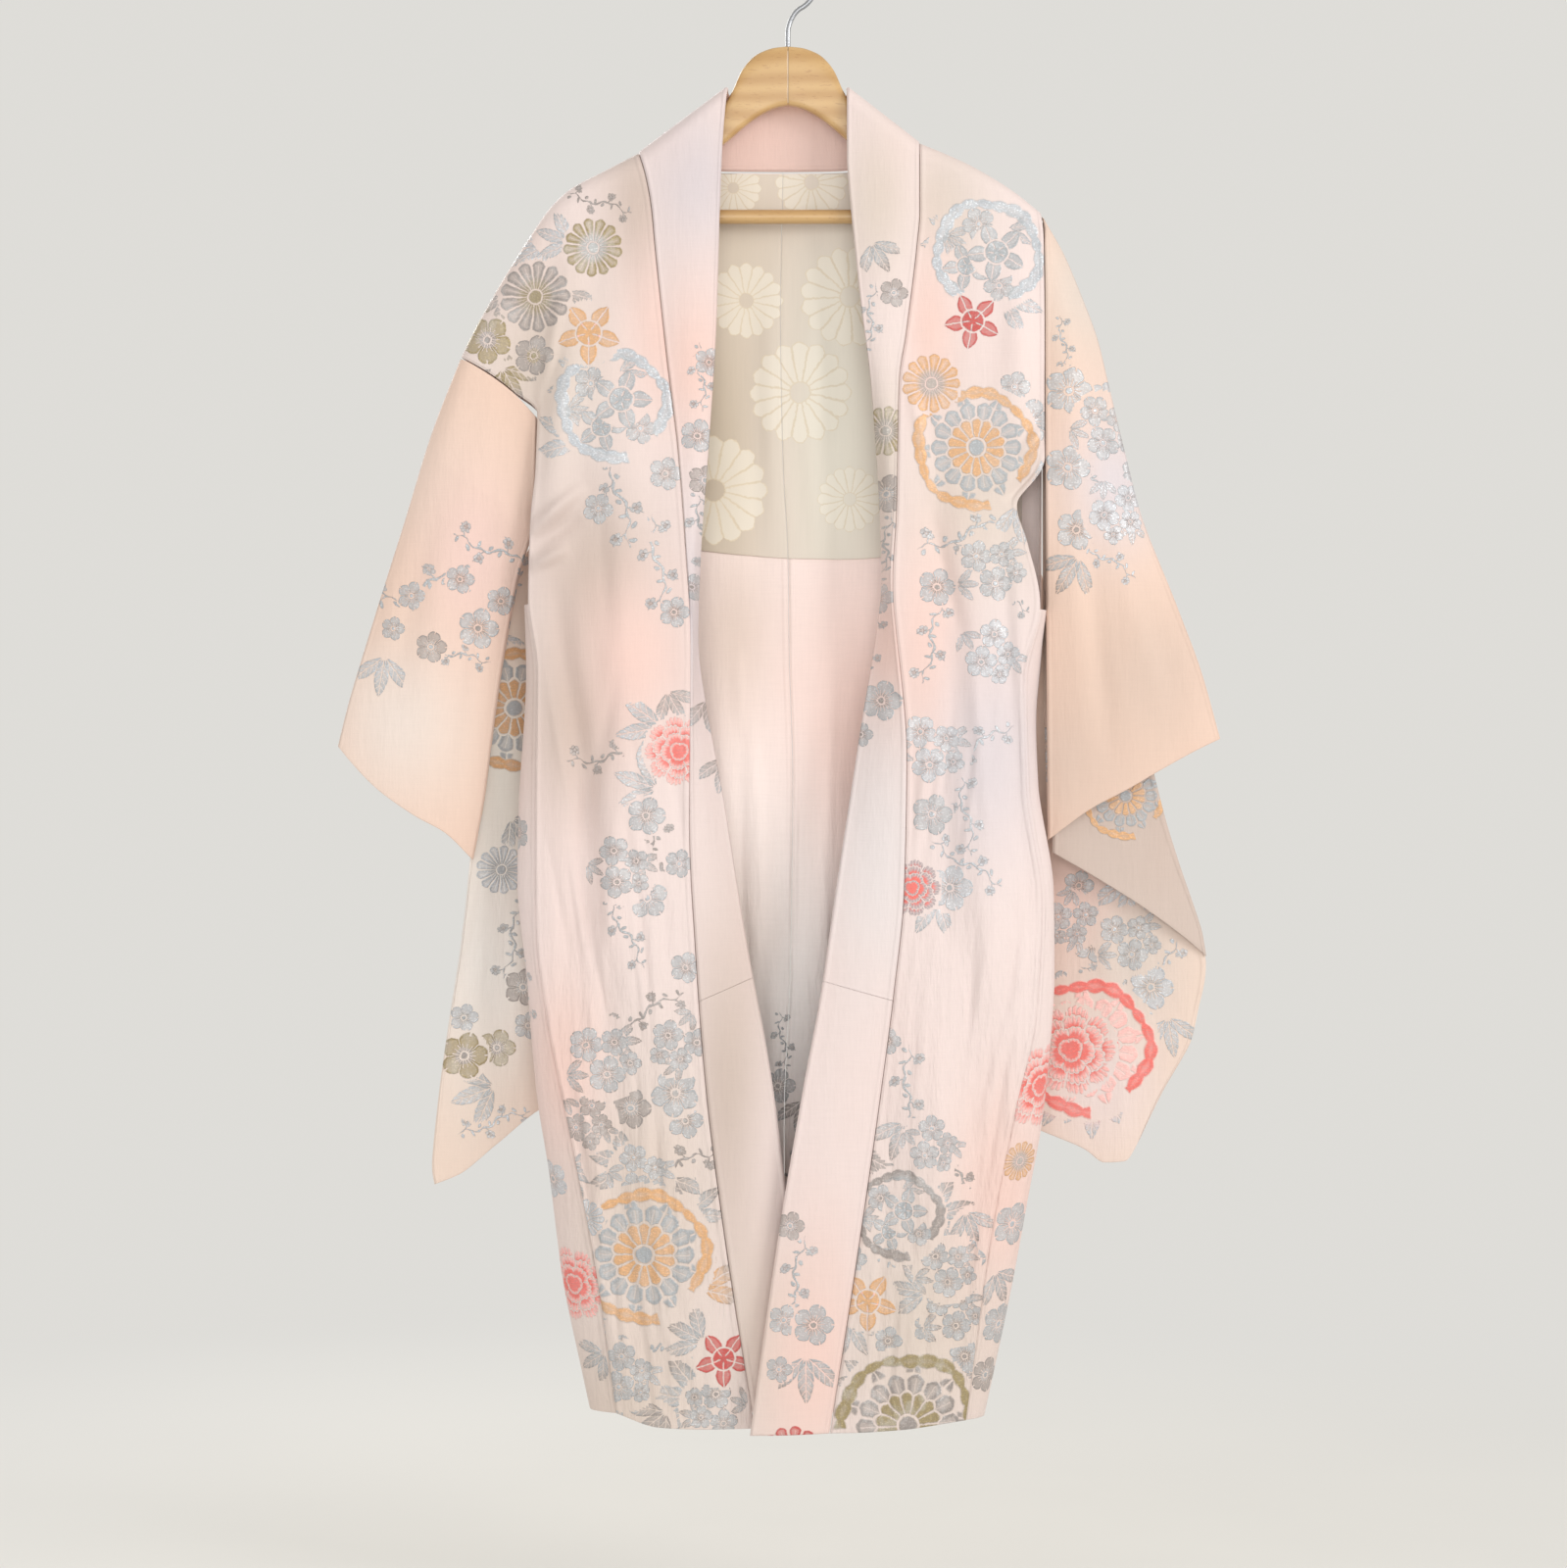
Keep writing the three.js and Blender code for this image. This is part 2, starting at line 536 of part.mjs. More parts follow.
// the lower part behind it
const BAG_LEFT = {
  top: stations([192, 470, 26], [204, 490, 22], [217, 560, 18], [252, 650, 15], [290, 654, 13.5]),
  outer: stations([290, 654, 13.5], [312, 730, 16.5], [337, 806, 18], [331, 843, 20], [326, 866, 21],
    [303, 909, 24], [284, 948, 25]),
  bottom: stations([146, 907, 36], [172, 926, 34], [203, 941, 32], [239, 956, 29], [256, 967, 27],
    [272, 966, 26], [284, 948, 25]),
  inner: stations([192, 470, 26], [181, 620, 35], [160, 780, 38], [146, 907, 36]),
};
const bagLeftFront = layer(BAG_LEFT, -1, -BAG_LAYER);
const bagLeftBack = layer(BAG_LEFT, 13, BAG_LAYER);

// -------------------------------------------------------------------- hanger

/** A closed skin through rings of points, with a fan over each end. */
function skin(name, rings, material) {
  const sides = rings[0].length;
  const points = rings.flat();
  const faces = [];
  for (let j = 0; j + 1 < rings.length; j += 1) {
    for (let i = 0; i < sides; i += 1) {
      const next = (i + 1) % sides;
      const [a, b] = [j * sides + i, j * sides + next];
      faces.push(a, b, b + sides, a, b + sides, a + sides);
    }
  }
  for (const [ring, turn] of [[0, 1], [rings.length - 1, -1]]) {
    const centre = rings[ring].reduce((sum, p) => sum.add(p), new THREE.Vector3());
    points.push(centre.divideScalar(sides));
    for (let i = 0; i < sides; i += 1) {
      const [a, b] = [ring * sides + i, ring * sides + ((i + 1) % sides)];
      faces.push(points.length - 1, turn > 0 ? b : a, turn > 0 ? a : b);
    }
  }
  return solid(name, points, faces, material);
}

// one arm, from the middle joint to its end: distance from the middle, top and underside
const arm = (out, top, under) => ({ out, top, under });
const ARM = [
  arm(0, 71, 118), arm(10, 72, 120), arm(24, 77, 127), arm(36, 89, 136), arm(44, 106, 143),
  arm(50, 116, 148), arm(72, 134, 164), arm(96, 151, 181), arm(119, 165, 195),
  arm(147, 179, 209), arm(172, 195, 220), arm(183, 205, 221), arm(189, 211, 219),
];
const ARM_SIDES = 12;
const ARM_SQUARENESS = 0.45;         // exponent of the section: 1 is an ellipse

/** Right (-1) or left (+1) half of the wooden body, with the hole for the bar. */
function hangerArm(name, side) {
  const power = (value) => Math.sign(value) * Math.abs(value) ** ARM_SQUARENESS;
  const rings = ARM.map(({ out, top, under }) => {
    const x = side * Math.max(out, SEAM / 2);
    return Array.from({ length: ARM_SIDES }, (_, i) => {
      const angle = (2 * Math.PI * (i + 0.5)) / ARM_SIDES;
      const z = -(top + under) / 2 + ((under - top) / 2) * power(Math.sin(angle));
      return new THREE.Vector3(x, (WOOD_DEPTH / 2) * power(Math.cos(angle)), z);
    });
  });
  const arm = skin(name, rings, wood());
  const hole = rod(BAR_HOLE, 2 * (BAR_HALF + SEAM));
  arm.geometry = difference(arm.geometry, hole);
  return arm;
}

/** A rod along X at the bar's height. */
function rod(diameter, length) {
  const geometry = new THREE.CylinderGeometry(diameter / 2, diameter / 2, length, 16);
  return geometry.rotateZ(Math.PI / 2).translate(0, 0, -BAR_DROP);
}

/** One geometry less another. */
function difference(whole, cutter) {
  const body = (geometry) => {
    const bare = geometry.clone();
    bare.deleteAttribute('normal');
    bare.deleteAttribute('uv');
    const merged = mergeVertices(bare);
    return new wasm.Manifold(new wasm.Mesh({
      numProp: 3,
      vertProperties: new Float32Array(merged.attributes.position.array),
      triVerts: new Uint32Array(merged.index.array),
    }));
  };
  const { vertProperties, triVerts } = body(whole).subtract(body(cutter)).getMesh();
  const geometry = new THREE.BufferGeometry();
  geometry.setAttribute('position', new THREE.BufferAttribute(vertProperties, 3));
  geometry.setIndex(new THREE.BufferAttribute(triVerts, 1));
  geometry.computeVertexNormals();
  return geometry;
}

/** The wire: straight out of the wood, one bend, then the bowl round the rail. */
function hook() {
  const bowl = new THREE.Vector3(0, 0, -(BOWL_RADIUS - WIRE / 2));
  const start = -62;                 // degrees round the bowl, from +X
  const end = 200;
  const round = (degrees) => new THREE.Vector3(
    BOWL_RADIUS * Math.cos(THREE.MathUtils.degToRad(degrees)), 0,
    BOWL_RADIUS * Math.sin(THREE.MathUtils.degToRad(degrees))).add(bowl);
  const path = new THREE.CatmullRomCurve3([
    new THREE.Vector3(0, 0, -HOOK_NECK_DROP), new THREE.Vector3(0, 0, -60),
    new THREE.Vector3(2.5, 0, -53.5), round(start),
    ...Array.from({ length: 11 }, (_, i) => round(start + ((i + 1) * (end - start)) / 11)),
  ]);
  const section = new THREE.Shape(Array.from({ length: 10 }, (_, i) => new THREE.Vector2(
    (WIRE / 2) * Math.cos((Math.PI * i) / 5), (WIRE / 2) * Math.sin((Math.PI * i) / 5))));
  const wire = new THREE.ExtrudeGeometry(section, { steps: 36, extrudePath: path });
  const mesh = new THREE.Mesh(wire, steel());
  mesh.name = 'hanger_hook';
  return mesh;
}

/** The trouser bar, with its ends in the two arms. */
function bar() {
  const mesh = new THREE.Mesh(rod(BAR_DIAMETER, 2 * BAR_HALF), wood());
  mesh.name = 'hanger_bar';
  return mesh;
}

// ---------------------------------------------------------------------- coat

const coat = new THREE.Group();
coat.name = 'haori_on_hanger';

coat.add(
  wall('front_right', frontRight, { across: 12, along: 28, crowd: 1.5 }),
  wall('front_left', frontLeft, { across: 11, along: 28, crowd: 1.5 }),
);

const backShape = { across: 12, along: 24, crowd: 1.5 };
for (const [side, surface, inwards] of [['right', backRight, 1], ['left', backLeft, -1]]) {
  const grid = gridOf(surface, backShape);
  const covered = grid.slice(0, LINING_ROWS + 1).map((row) => row.slice(0, LINING_COLUMNS + 1));
  coat.add(
    wallOn(`back_${side}`, grid, CLOTH, silk()),
    wallOn(`lining_${side}`, covered, LINING, satin(), inwards * LINING_INSIDE),
  );
}

const gussetTrim = { inner: GUSSET_FREE, outer: GUSSET_FREE };
coat.add(
  wall('gusset_right', gusset(FRONT_SIDE_RIGHT, BACK_SIDE_RIGHT, GUSSET_FOLD_RIGHT), {
    across: 4, along: 16, trim: gussetTrim }),
  wall('gusset_left', gusset(FRONT_SIDE_LEFT, BACK_SIDE_LEFT, GUSSET_FOLD_LEFT), {
    across: 4, along: 16, trim: gussetTrim }),
);

for (const [side, surface] of [['right', collarRight], ['left', collarLeft]]) {
  const trim = { inner: seamRoom(surface), outer: 0 };
  const common = { across: 4, thickness: BAND };
  coat.add(
    wall(`collar_${side}_upper`, surface, {
      ...common, along: 20, crowd: 1.7, span: [0, 1, 0, COLLAR_JOINT], trim: { ...trim, top: COLLAR_TOP_ROOM },
    }),
    wall(`collar_${side}_lower`, surface, { ...common, along: 8, span: [0, 1, COLLAR_JOINT, 1], trim }),
  );
}
coat.add(wall('collar_back', collarBack, { across: 4, along: 24, thickness: BAND, trim: { top: 0.6, bottom: 0.6 } }));

coat.add(
  wall('sleeve_right_front', sleeveRightFront, { across: 7, along: 10, material: peachSilk() }),
  wall('sleeve_right_back', sleeveRightBack, { across: 7, along: 10, material: peachSilk() }),
  wall('sleeve_right_bag_front', bagRightFront, { across: 7, along: 9 }),
  wall('sleeve_right_bag_back', bagRightBack, { across: 7, along: 9 }),
  wall('sleeve_left_front', sleeveLeftFront, { across: 7, along: 12, material: peachSilk() }),
  wall('sleeve_left_back', sleeveLeftBack, { across: 7, along: 12, material: peachSilk() }),
  wall('sleeve_left_corner', cornerLeft, { across: 6, along: 5 }),
  wall('sleeve_left_bag_front', bagLeftFront, { across: 7, along: 9 }),
  wall('sleeve_left_bag_back', bagLeftBack, { across: 7, along: 9 }),
);

coat.add(hangerArm('hanger_arm_right', -1), hangerArm('hanger_arm_left', 1), bar(), hook());

export default coat;
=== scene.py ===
"""Dresses a haori on its hanger: figured silk, satin lining, wood and wire."""

import logging
import math
from collections.abc import Callable, Sequence
from dataclasses import dataclass, field
from enum import Enum

import bpy
import numpy as np
from bpy.types import Material, Mesh, Node, NodeSocket, Object
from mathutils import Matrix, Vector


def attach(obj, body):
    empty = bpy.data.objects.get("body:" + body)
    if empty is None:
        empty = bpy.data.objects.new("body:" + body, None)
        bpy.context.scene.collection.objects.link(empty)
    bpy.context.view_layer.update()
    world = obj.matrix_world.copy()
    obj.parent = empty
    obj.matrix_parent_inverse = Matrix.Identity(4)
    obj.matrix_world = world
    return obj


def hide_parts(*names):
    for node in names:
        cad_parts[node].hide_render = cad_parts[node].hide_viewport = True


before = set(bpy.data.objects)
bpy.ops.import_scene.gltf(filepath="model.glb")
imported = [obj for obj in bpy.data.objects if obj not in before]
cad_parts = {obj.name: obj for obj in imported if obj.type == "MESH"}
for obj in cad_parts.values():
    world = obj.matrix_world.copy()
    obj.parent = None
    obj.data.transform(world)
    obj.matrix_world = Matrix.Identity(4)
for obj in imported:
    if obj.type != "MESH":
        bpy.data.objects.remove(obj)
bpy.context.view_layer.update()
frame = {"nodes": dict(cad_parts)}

Array = np.ndarray
Triple = tuple[float, float, float]
Surface = Callable[[Array, Array], Array]
Relief = Callable[[Array, Array, Array], Array]

LOG = logging.getLogger("haori")
MM = 0.001
X, DROP, Y = 0, 1, 2                 # columns of a point of cloth, in millimetres
CLOTH, LINING, BAND = 1.6, 1.0, 3.0    # thicknesses of the silk, the satin and the collar
LINING_ROOM = 0.3                    # between the lining and the backs
PALEST = 0.76                        # share of the light that the palest dye gives back
SHOULDER_DEPTH = 11.0                # from a shoulder fold to either side of the coat
SHOULDER_ROLL = 12.0                 # how far below its fold the cloth has turned over
LAYER = 0.98                         # half the spacing of a sleeve's two layers on a fold
BAG_LAYER = 1.3                      # the same, in its hanging part
ARM_NODES = ("hanger_arm_right", "hanger_arm_left")


# --- edge curves


def table(*rows: Sequence[float]) -> Array:
    """Rows of x, drop and y, in millimetres, as an array."""
    return np.array(rows, float)


def smooth_columns(rows: Array, place: Array) -> Array:
    """Values of a table's columns between its rows, without overshoot.

    Each cubic piece meets its neighbour with the harmonic mean of their two slopes,
    or level where they differ in sign.

    Args:
        rows: the table, one row per station.
        place: fractions of the way down the rows.

    Returns:
        An array with place's shape and one more axis for the columns.
    """
    last = len(rows) - 1
    spot = np.clip(place, 0, 1) * last
    i = np.minimum(spot.astype(int), last - 1)
    f = (spot - i)[..., None]
    step = np.diff(rows, axis=0)
    product = step[:-1] * step[1:]
    whole = np.where(product > 0, step[:-1] + step[1:], 1)
    middle = np.where(product > 0, 2 * product / whole, 0)
    slope = np.concatenate([step[:1], middle, step[-1:]])
    rise = 3 * f**2 - 2 * f**3
    return (rows[i] * (1 - rise) + rows[i + 1] * rise
            + slope[i] * (f**3 - 2 * f**2 + f) + slope[i + 1] * (f**3 - f**2))


class Edge:
    """A seam or fold through a table's stations, measured evenly along its length."""

    def __init__(self, rows: Array) -> None:
        """Args: rows: the table of stations."""
        self.rows = rows
        self.places = np.linspace(0, 1, 8 * (len(rows) - 1) + 1)
        dense = smooth_columns(rows, self.places)
        steps = np.linalg.norm(np.diff(dense, axis=0), axis=1)
        self.lengths = np.concatenate([[0.0], np.cumsum(steps)])

    def __call__(self, share: Array) -> Array:
        """Points at shares of the edge's length."""
        reach = np.clip(share, 0, 1) * self.lengths[-1]
        return smooth_columns(self.rows, np.interp(reach, self.lengths, self.places))

    def share_at_drop(self, drop: float) -> float:
        """Share of the length at which the edge first passes a drop."""
        shares = np.linspace(0, 1, 4000)
        return float(shares[np.argmax(self(shares)[:, DROP] >= drop)])


def at_depth(rows: Array, y: float) -> Array:
    """The same table with one depth all along."""
    return np.column_stack([rows[:, :2], np.full(len(rows), y)])


def at_least(rows: Array, y: float) -> Array:
    """The same table, nowhere nearer the front than a depth."""
    return np.column_stack([rows[:, :2], np.maximum(rows[:, Y], y)])


def shifted(rows: Array, y: float) -> Array:
    """The same table, moved in depth."""
    return rows + np.array([0, 0, y])


def ruled(first: Array, second: Array, share: Array) -> Array:
    """Points on the straight lines from one edge to another, at a share of the way."""
    return first * (1 - share[..., None]) + second * share[..., None]


def roll_share(below: Array) -> Array:
    """Share of its full depth that cloth has at a distance below a shoulder fold.

    A quarter circle: the square root of one less the square of what is left of the roll.
    """
    rest = 1 - np.clip(below / SHOULDER_ROLL, 0, 1)
    return np.sqrt(np.maximum(1 - rest**2, 0))


# --- relief


@dataclass(frozen=True)
class Crease:
    """A soft ridge or trough along a line. A negative height stands towards the front."""

    x0: float
    drop0: float
    x1: float
    drop1: float
    width: float
    height: float

    def depth(self, point: Array) -> Array:
        """Height times the sine along the line times a bell curve across it."""
        run = np.array([self.x1 - self.x0, self.drop1 - self.drop0])
        length = float(np.hypot(*run))
        off = point[..., :2] - np.array([self.x0, self.drop0])
        share = np.clip(off @ run / length**2, 0, 1)
        away = (off[..., 0] * run[1] - off[..., 1] * run[0]) / length / self.width
        return self.height * np.sin(np.pi * share) * np.exp(-away**2)


Creases = tuple[Crease, ...]


def creases(*rows: Sequence[float]) -> Creases:
    """Creases from rows of x0, drop0, x1, drop1, width and height."""
    return tuple(Crease(*row) for row in rows)


CRIMPED_FROM, CRIMPED_OVER = 540, 640       # drop at which the wrinkles start, and their reach
LEAN_TO = 1100                              # height in which a wrinkle would cross to the middle


@dataclass(frozen=True)
class Hang:
    """How a piece of cloth hangs: broad folds, fine creases and a slight ripple."""

    broad: Creases = ()
    fine: Creases = ()
    belly: float = 0.0               # depth of an evenly bellied layer
    ripple: float = 0.0              # height of the ripple, mm
    seed: int = 1
    crimps: int = 0                  # number of short upright wrinkles
    between: tuple[float, float] = (0.0, 0.0)    # lowest and highest x of the wrinkles

    def __call__(self, point: Array, u: Array, v: Array) -> Array:
        """Depth to add at points of a patch.

        Broad folds die out on all four edges, by the sine across to the power 0.6 and a
        ramp of an eighth down. Fine ones and the ripple die out in the last few percent.
        A belly is the sine across to the power 0.7, full from a quarter of the way down.
        """
        across = np.sin(np.pi * np.clip(u, 0, 1))
        inside = across**0.6 * np.clip(np.minimum(8 * v, 8 * (1 - v)), 0, 1)
        rim = np.clip(np.minimum(np.minimum(u, 1 - u) / 0.05, np.minimum(v, 1 - v) / 0.02), 0, 1)
        near = rim * rim * (3 - 2 * rim)
        depth = self.belly * across**0.7 * np.clip(4 * v, 0, 1)
        depth = depth + inside * sum((c.depth(point) for c in self.broad), np.zeros(u.shape))
        depth = depth + near * sum((c.depth(point) for c in self.fine), np.zeros(u.shape))
        return depth + near * (self.ripples(point) + self.crimped(point))

    def crimped(self, point: Array) -> Array:
        """Short upright wrinkles strewn by chance, most of them low, leaning to the middle."""
        chance = np.random.default_rng(self.seed + 100)
        total = np.zeros(point.shape[:-1])
        for _ in range(self.crimps):
            x = chance.uniform(*self.between)
            drop = CRIMPED_FROM + CRIMPED_OVER * chance.uniform() ** 0.65
            tall, high = chance.uniform(50, 170), chance.uniform(0.7, 2.1) * chance.choice([-1, 1])
            wide = chance.uniform(2.6, 5.0)
            foot = x - x * tall / LEAN_TO
            total += Crease(x, drop, foot, drop + tall, wide, high).depth(point)
        return total

    def ripples(self, point: Array) -> Array:
        """Sum of seven slanting sine waves, long down the cloth and short across it."""
        if not self.ripple:
            return np.zeros(point.shape[:-1])
        chance = np.random.default_rng(self.seed)
        total = np.zeros(point.shape[:-1])
        for _ in range(7):
            wide, tall = chance.uniform(24, 90), chance.uniform(150, 520)
            tilt, phase = chance.choice([-1, 1]), chance.uniform(0, 2 * np.pi)
            wave = 2 * np.pi * (point[..., X] / wide + tilt * point[..., DROP] / tall) + phase
            total += np.sin(wave) * wide / 90
        return self.ripple * total / 2.2


# --- surfaces


@dataclass(frozen=True)
class Patch:
    """Cloth between four edges, as Coons' formula joins them.

    The mean of the two rulings less the corners' bilinear surface, plus the relief. With
    a shoulder fold, the cloth starts at the fold's depth and turns over to its own.
    """

    top: Edge
    bottom: Edge
    inner: Edge
    outer: Edge
    relief: Relief
    fold: Edge | None = None

    def __call__(self, u: Array, v: Array) -> Array:
        """Points at u, from inner to outer, and v, from top to bottom."""
        t, b, i, o = self.top(u), self.bottom(u), self.inner(v), self.outer(v)
        a, c = u[..., None], v[..., None]
        zero, one = np.zeros(1), np.ones(1)
        point = t * (1 - c) + b * c + i * (1 - a) + o * a
        point = point - self.top(zero) * (1 - a) * (1 - c) - self.top(one) * a * (1 - c)
        point = point - self.bottom(zero) * (1 - a) * c - self.bottom(one) * a * c
        point[..., Y] += self.relief(point, u, v)
        if self.fold is not None:
            share = roll_share(point[..., DROP] - t[..., DROP])
            point[..., Y] = self.fold(u)[..., Y] * (1 - share) + point[..., Y] * share
        return point


@dataclass(frozen=True)
class FrontBand:
    """A front collar band: straight from seam to fold, bowed forward, rolled at the shoulder."""

    seam: Edge
    free: Edge
    bow: float = 3.0                 # how far its middle stands forward, mm
    first: float = 0.0               # shares of the length at which it starts and ends
    last: float = 1.0

    def __call__(self, u: Array, v: Array) -> Array:
        """Points at u, from seam to free edge, and v, down the band."""
        down = self.first + (self.last - self.first) * v
        point = ruled(self.seam(down), self.free(down), u)
        point[..., Y] -= self.bow * np.sin(np.pi * u)
        top = ruled(self.seam(np.zeros(1)), self.free(np.zeros(1)), u)
        point[..., Y] *= roll_share(point[..., DROP] - top[..., DROP])
        return point


@dataclass(frozen=True)
class BackBand:
    """The collar band behind the neck, straight from its seam up to its fold."""

    seam: Edge
    free: Edge

    def __call__(self, u: Array, v: Array) -> Array:
        """Points at u, from seam to fold, and v, from the right shoulder to the left."""
        return ruled(self.seam(v), self.free(v), u)


@dataclass(frozen=True)
class GussetFace:
    """A side gusset: each row is a parabola from seam to seam over its outermost fold.

    Both seams are tucked in under the panels' edges.
    """

    front: Edge
    back: Edge
    fold: Edge
    tuck: float = 0.8                # inwards, mm
    under: float = 1.0               # towards the other panel, mm

    def __call__(self, u: Array, v: Array) -> Array:
        """Points at u, from the front seam to the back seam, and v, downwards."""
        start = float(self.fold.rows[0, DROP])
        a, b = (edge(share + (1 - share) * v)
                for edge, share in ((e, e.share_at_drop(start)) for e in (self.front, self.back)))
        inwards = -np.sign(a[..., :1])
        a = a + inwards * np.array([self.tuck, 0, 0]) + np.array([0, 0, self.under])
        b = b + inwards * np.array([self.tuck, 0, 0]) - np.array([0, 0, self.under])
        middle = (a + b) / 2
        pull = middle.copy()
        pull[..., X] = 2 * self.fold(v)[..., X] - middle[..., X]
        u = u[..., None]
        return a * (1 - u) ** 2 + b * u**2 + pull * 2 * u * (1 - u)


# --- cloth grid


class Rim(Enum):
    """How an edge of a cloth piece is finished."""

    FOLDED = "rounded over"
    FLAT = "square, against the next piece"


ROUND_LINES = np.array([0.0, 0.14, 0.5, 1.0])          # in from a folded rim, in radii
FLAT_LINES = np.array([0.0, 0.02, 0.05])               # in from a flat rim, mm
ROLL_LINES = np.array([1.2, 2.0, 3.0, 4.5, 6.5, 9.0, 12.0])    # below a shoulder fold, mm


@dataclass(frozen=True)
class Cut:
    """How a surface is sampled: its cell, the room left at its edges, and its rims."""

    cell: float = 2.6
    room: tuple[float, float, float, float] = (0.15, 0.15, 0.15, 0.15)   # inner outer top bottom
    top_rim: Rim = Rim.FOLDED
    bottom_rim: Rim = Rim.FOLDED
    shoulder: bool = False

    def stations(self, length: float, thickness: float, rims: tuple[Rim, Rim],
                 room: tuple[float, float], rolled: bool) -> tuple[Array, Array, Array]:
        """Where the grid's lines lie along one way of a surface.

        Args:
            length: the surface's length that way, mm.
            thickness: of the cloth, mm.
            rims: the finish at its start and end.
            room: the distance left free at its start and end.
            rolled: whether the lines crowd below the start, for a shoulder roll.

        Returns:
            Three arrays: shares of the length, offsets in mm to add to them, and shares of
            the full thickness.
        """
        radius = thickness / 2
        rounded = radius * ROUND_LINES
        made = {Rim.FOLDED: (rounded, np.sqrt(1 - (1 - rounded / radius) ** 2)),
                Rim.FLAT: (FLAT_LINES, np.array([0.0, 1.0, 1.0]))}
        (start, start_full), (end, end_full) = (made[rim] for rim in rims)
        start, end = start + room[0], end + room[1]
        if rolled:
            start = np.append(start, ROLL_LINES)
            start_full = np.append(start_full, np.ones(len(ROLL_LINES)))
        count = max(int(round(length / self.cell)), 4)
        middle = np.linspace(0, 1, count + 1)[1:-1]
        shares = np.concatenate([np.zeros(len(start)), middle, np.ones(len(end))])
        between = start[-1] * (1 - middle) - end[-1] * middle
        offsets = np.concatenate([start, between, -end[::-1]])
        full = np.concatenate([start_full, np.ones(len(middle)), end_full[::-1]])
        return shares, offsets, full

    def grid(self, surface: Surface, thickness: float) -> "Grid":
        """Points of a surface on rows from top to bottom, and how thick the cloth is at each."""
        line = np.linspace(0, 1, 33)
        zero, one, half = np.zeros(33), np.ones(33), np.full(33, 0.5)
        wide = np.linalg.norm(surface(zero, line) - surface(one, line), axis=-1)
        tall = np.linalg.norm(surface(line, zero) - surface(line, one), axis=-1)
        ring = np.linalg.norm(np.diff(surface(line, half), axis=0), axis=-1).sum()
        fall = np.linalg.norm(np.diff(surface(half, line), axis=0), axis=-1).sum()
        inner, outer, top, bottom = self.room
        su, ou, fu = self.stations(max(ring, wide.max()), thickness, (Rim.FOLDED, Rim.FOLDED),
                                   (inner, outer), False)
        sv, ov, fv = self.stations(fall, thickness, (self.top_rim, self.bottom_rim),
                                   (top, bottom), self.shoulder)
        share_u, share_v = np.meshgrid(su, sv)
        width = np.maximum(np.interp(share_v, line, wide), 8)
        height = np.maximum(np.interp(share_u, line, tall), 8)
        u = share_u + ou[None, :] / width
        v = share_v + ov[:, None] / height
        return Grid(surface(u, v), fu[None, :] * fv[:, None] * np.ones_like(u))


@dataclass
class Grid:
    """Points of a cloth piece in rows from its top, with the share of its thickness at each."""

    points: Array
    full: Array

    def normals(self) -> Array:
        """Unit normals by central differences: across the rows, crossed with down them."""
        place = self.points[..., [X, Y, DROP]] * np.array([1, 1, -1])
        east, south = np.gradient(place, axis=1), np.gradient(place, axis=0)
        out = np.cross(east, south)
        return out / np.maximum(np.linalg.norm(out, axis=-1, keepdims=True), 1e-12)

    def flat(self) -> Array:
        """Lengths along the cloth, across from its inner edge and down from its top, in mm."""
        east = np.linalg.norm(np.diff(self.points, axis=1), axis=-1)
        south = np.linalg.norm(np.diff(self.points, axis=0), axis=-1)
        across = np.pad(np.cumsum(east, axis=1), ((0, 0), (1, 0)))
        down = np.pad(np.cumsum(south, axis=0), ((1, 0), (0, 0)))
        return np.stack([across, down], axis=-1)

    def size(self) -> tuple[float, float, float]:
        """Widest, longest and area of the piece laid flat, in metres and square metres."""
        flat = self.flat()
        a, b = np.gradient(self.points, axis=1), np.gradient(self.points, axis=0)
        area = np.linalg.norm(np.cross(a, b), axis=-1).sum()
        return flat[:, -1, 0].max() * MM, flat[-1, :, 1].max() * MM, float(area) * MM * MM


# --- colours, flowers


def linear(red: int, green: int, blue: int) -> Triple:
    """A screen colour of 0 to 255 as linear light: the sRGB curve undone."""
    return tuple((c / 255 / 12.92) if c < 11 else ((c / 255 + 0.055) / 1.055) ** 2.4
                 for c in (red, green, blue))


class Thread(Enum):
    """Colours of the woven-in thread, each with how metallic it is."""

    SILVER = (*linear(164, 167, 170), 0.35)
    FROST = (*linear(178, 182, 187), 0.35)
    TAUPE = (*linear(152, 144, 140), 0.25)
    OLIVE = (*linear(154, 139, 104), 0.30)
    APRICOT = (*linear(208, 163, 120), 0.15)
    CORAL = (*linear(224, 112, 104), 0.10)
    BRICK = (*linear(190, 84, 80), 0.10)
    ROSE = (*linear(238, 186, 180), 0.10)
    CREAM = (*linear(246, 240, 226), 0.0)


TWIG_HALF = 0.42                     # half height of a twig, in its half lengths
NOWHERE = 5.0                        # a place in a figure's frame that is outside all of it


class Kind(Enum):
    """Traditional figures that are woven into the cloth, with the usual radius of each, mm."""

    CHRYSANTHEMUM = 28.0
    PLUM = 17.0
    PEONY = 35.0
    MANDARIN = 26.0
    SPRAY = 22.0
    CLUSTER = 32.0
    RINGED = 54.0                    # a chrysanthemum in a cloud band
    MEDALLION = 46.0                 # fruit and flowers in a cloud band
    TWIG = 34.0


CHRYSANTHEMUM, PLUM, PEONY, MANDARIN, SPRAY, CLUSTER, RINGED, MEDALLION, TWIG = Kind
SILVER, FROST, TAUPE, OLIVE, APRICOT, CORAL, BRICK, ROSE, CREAM = Thread


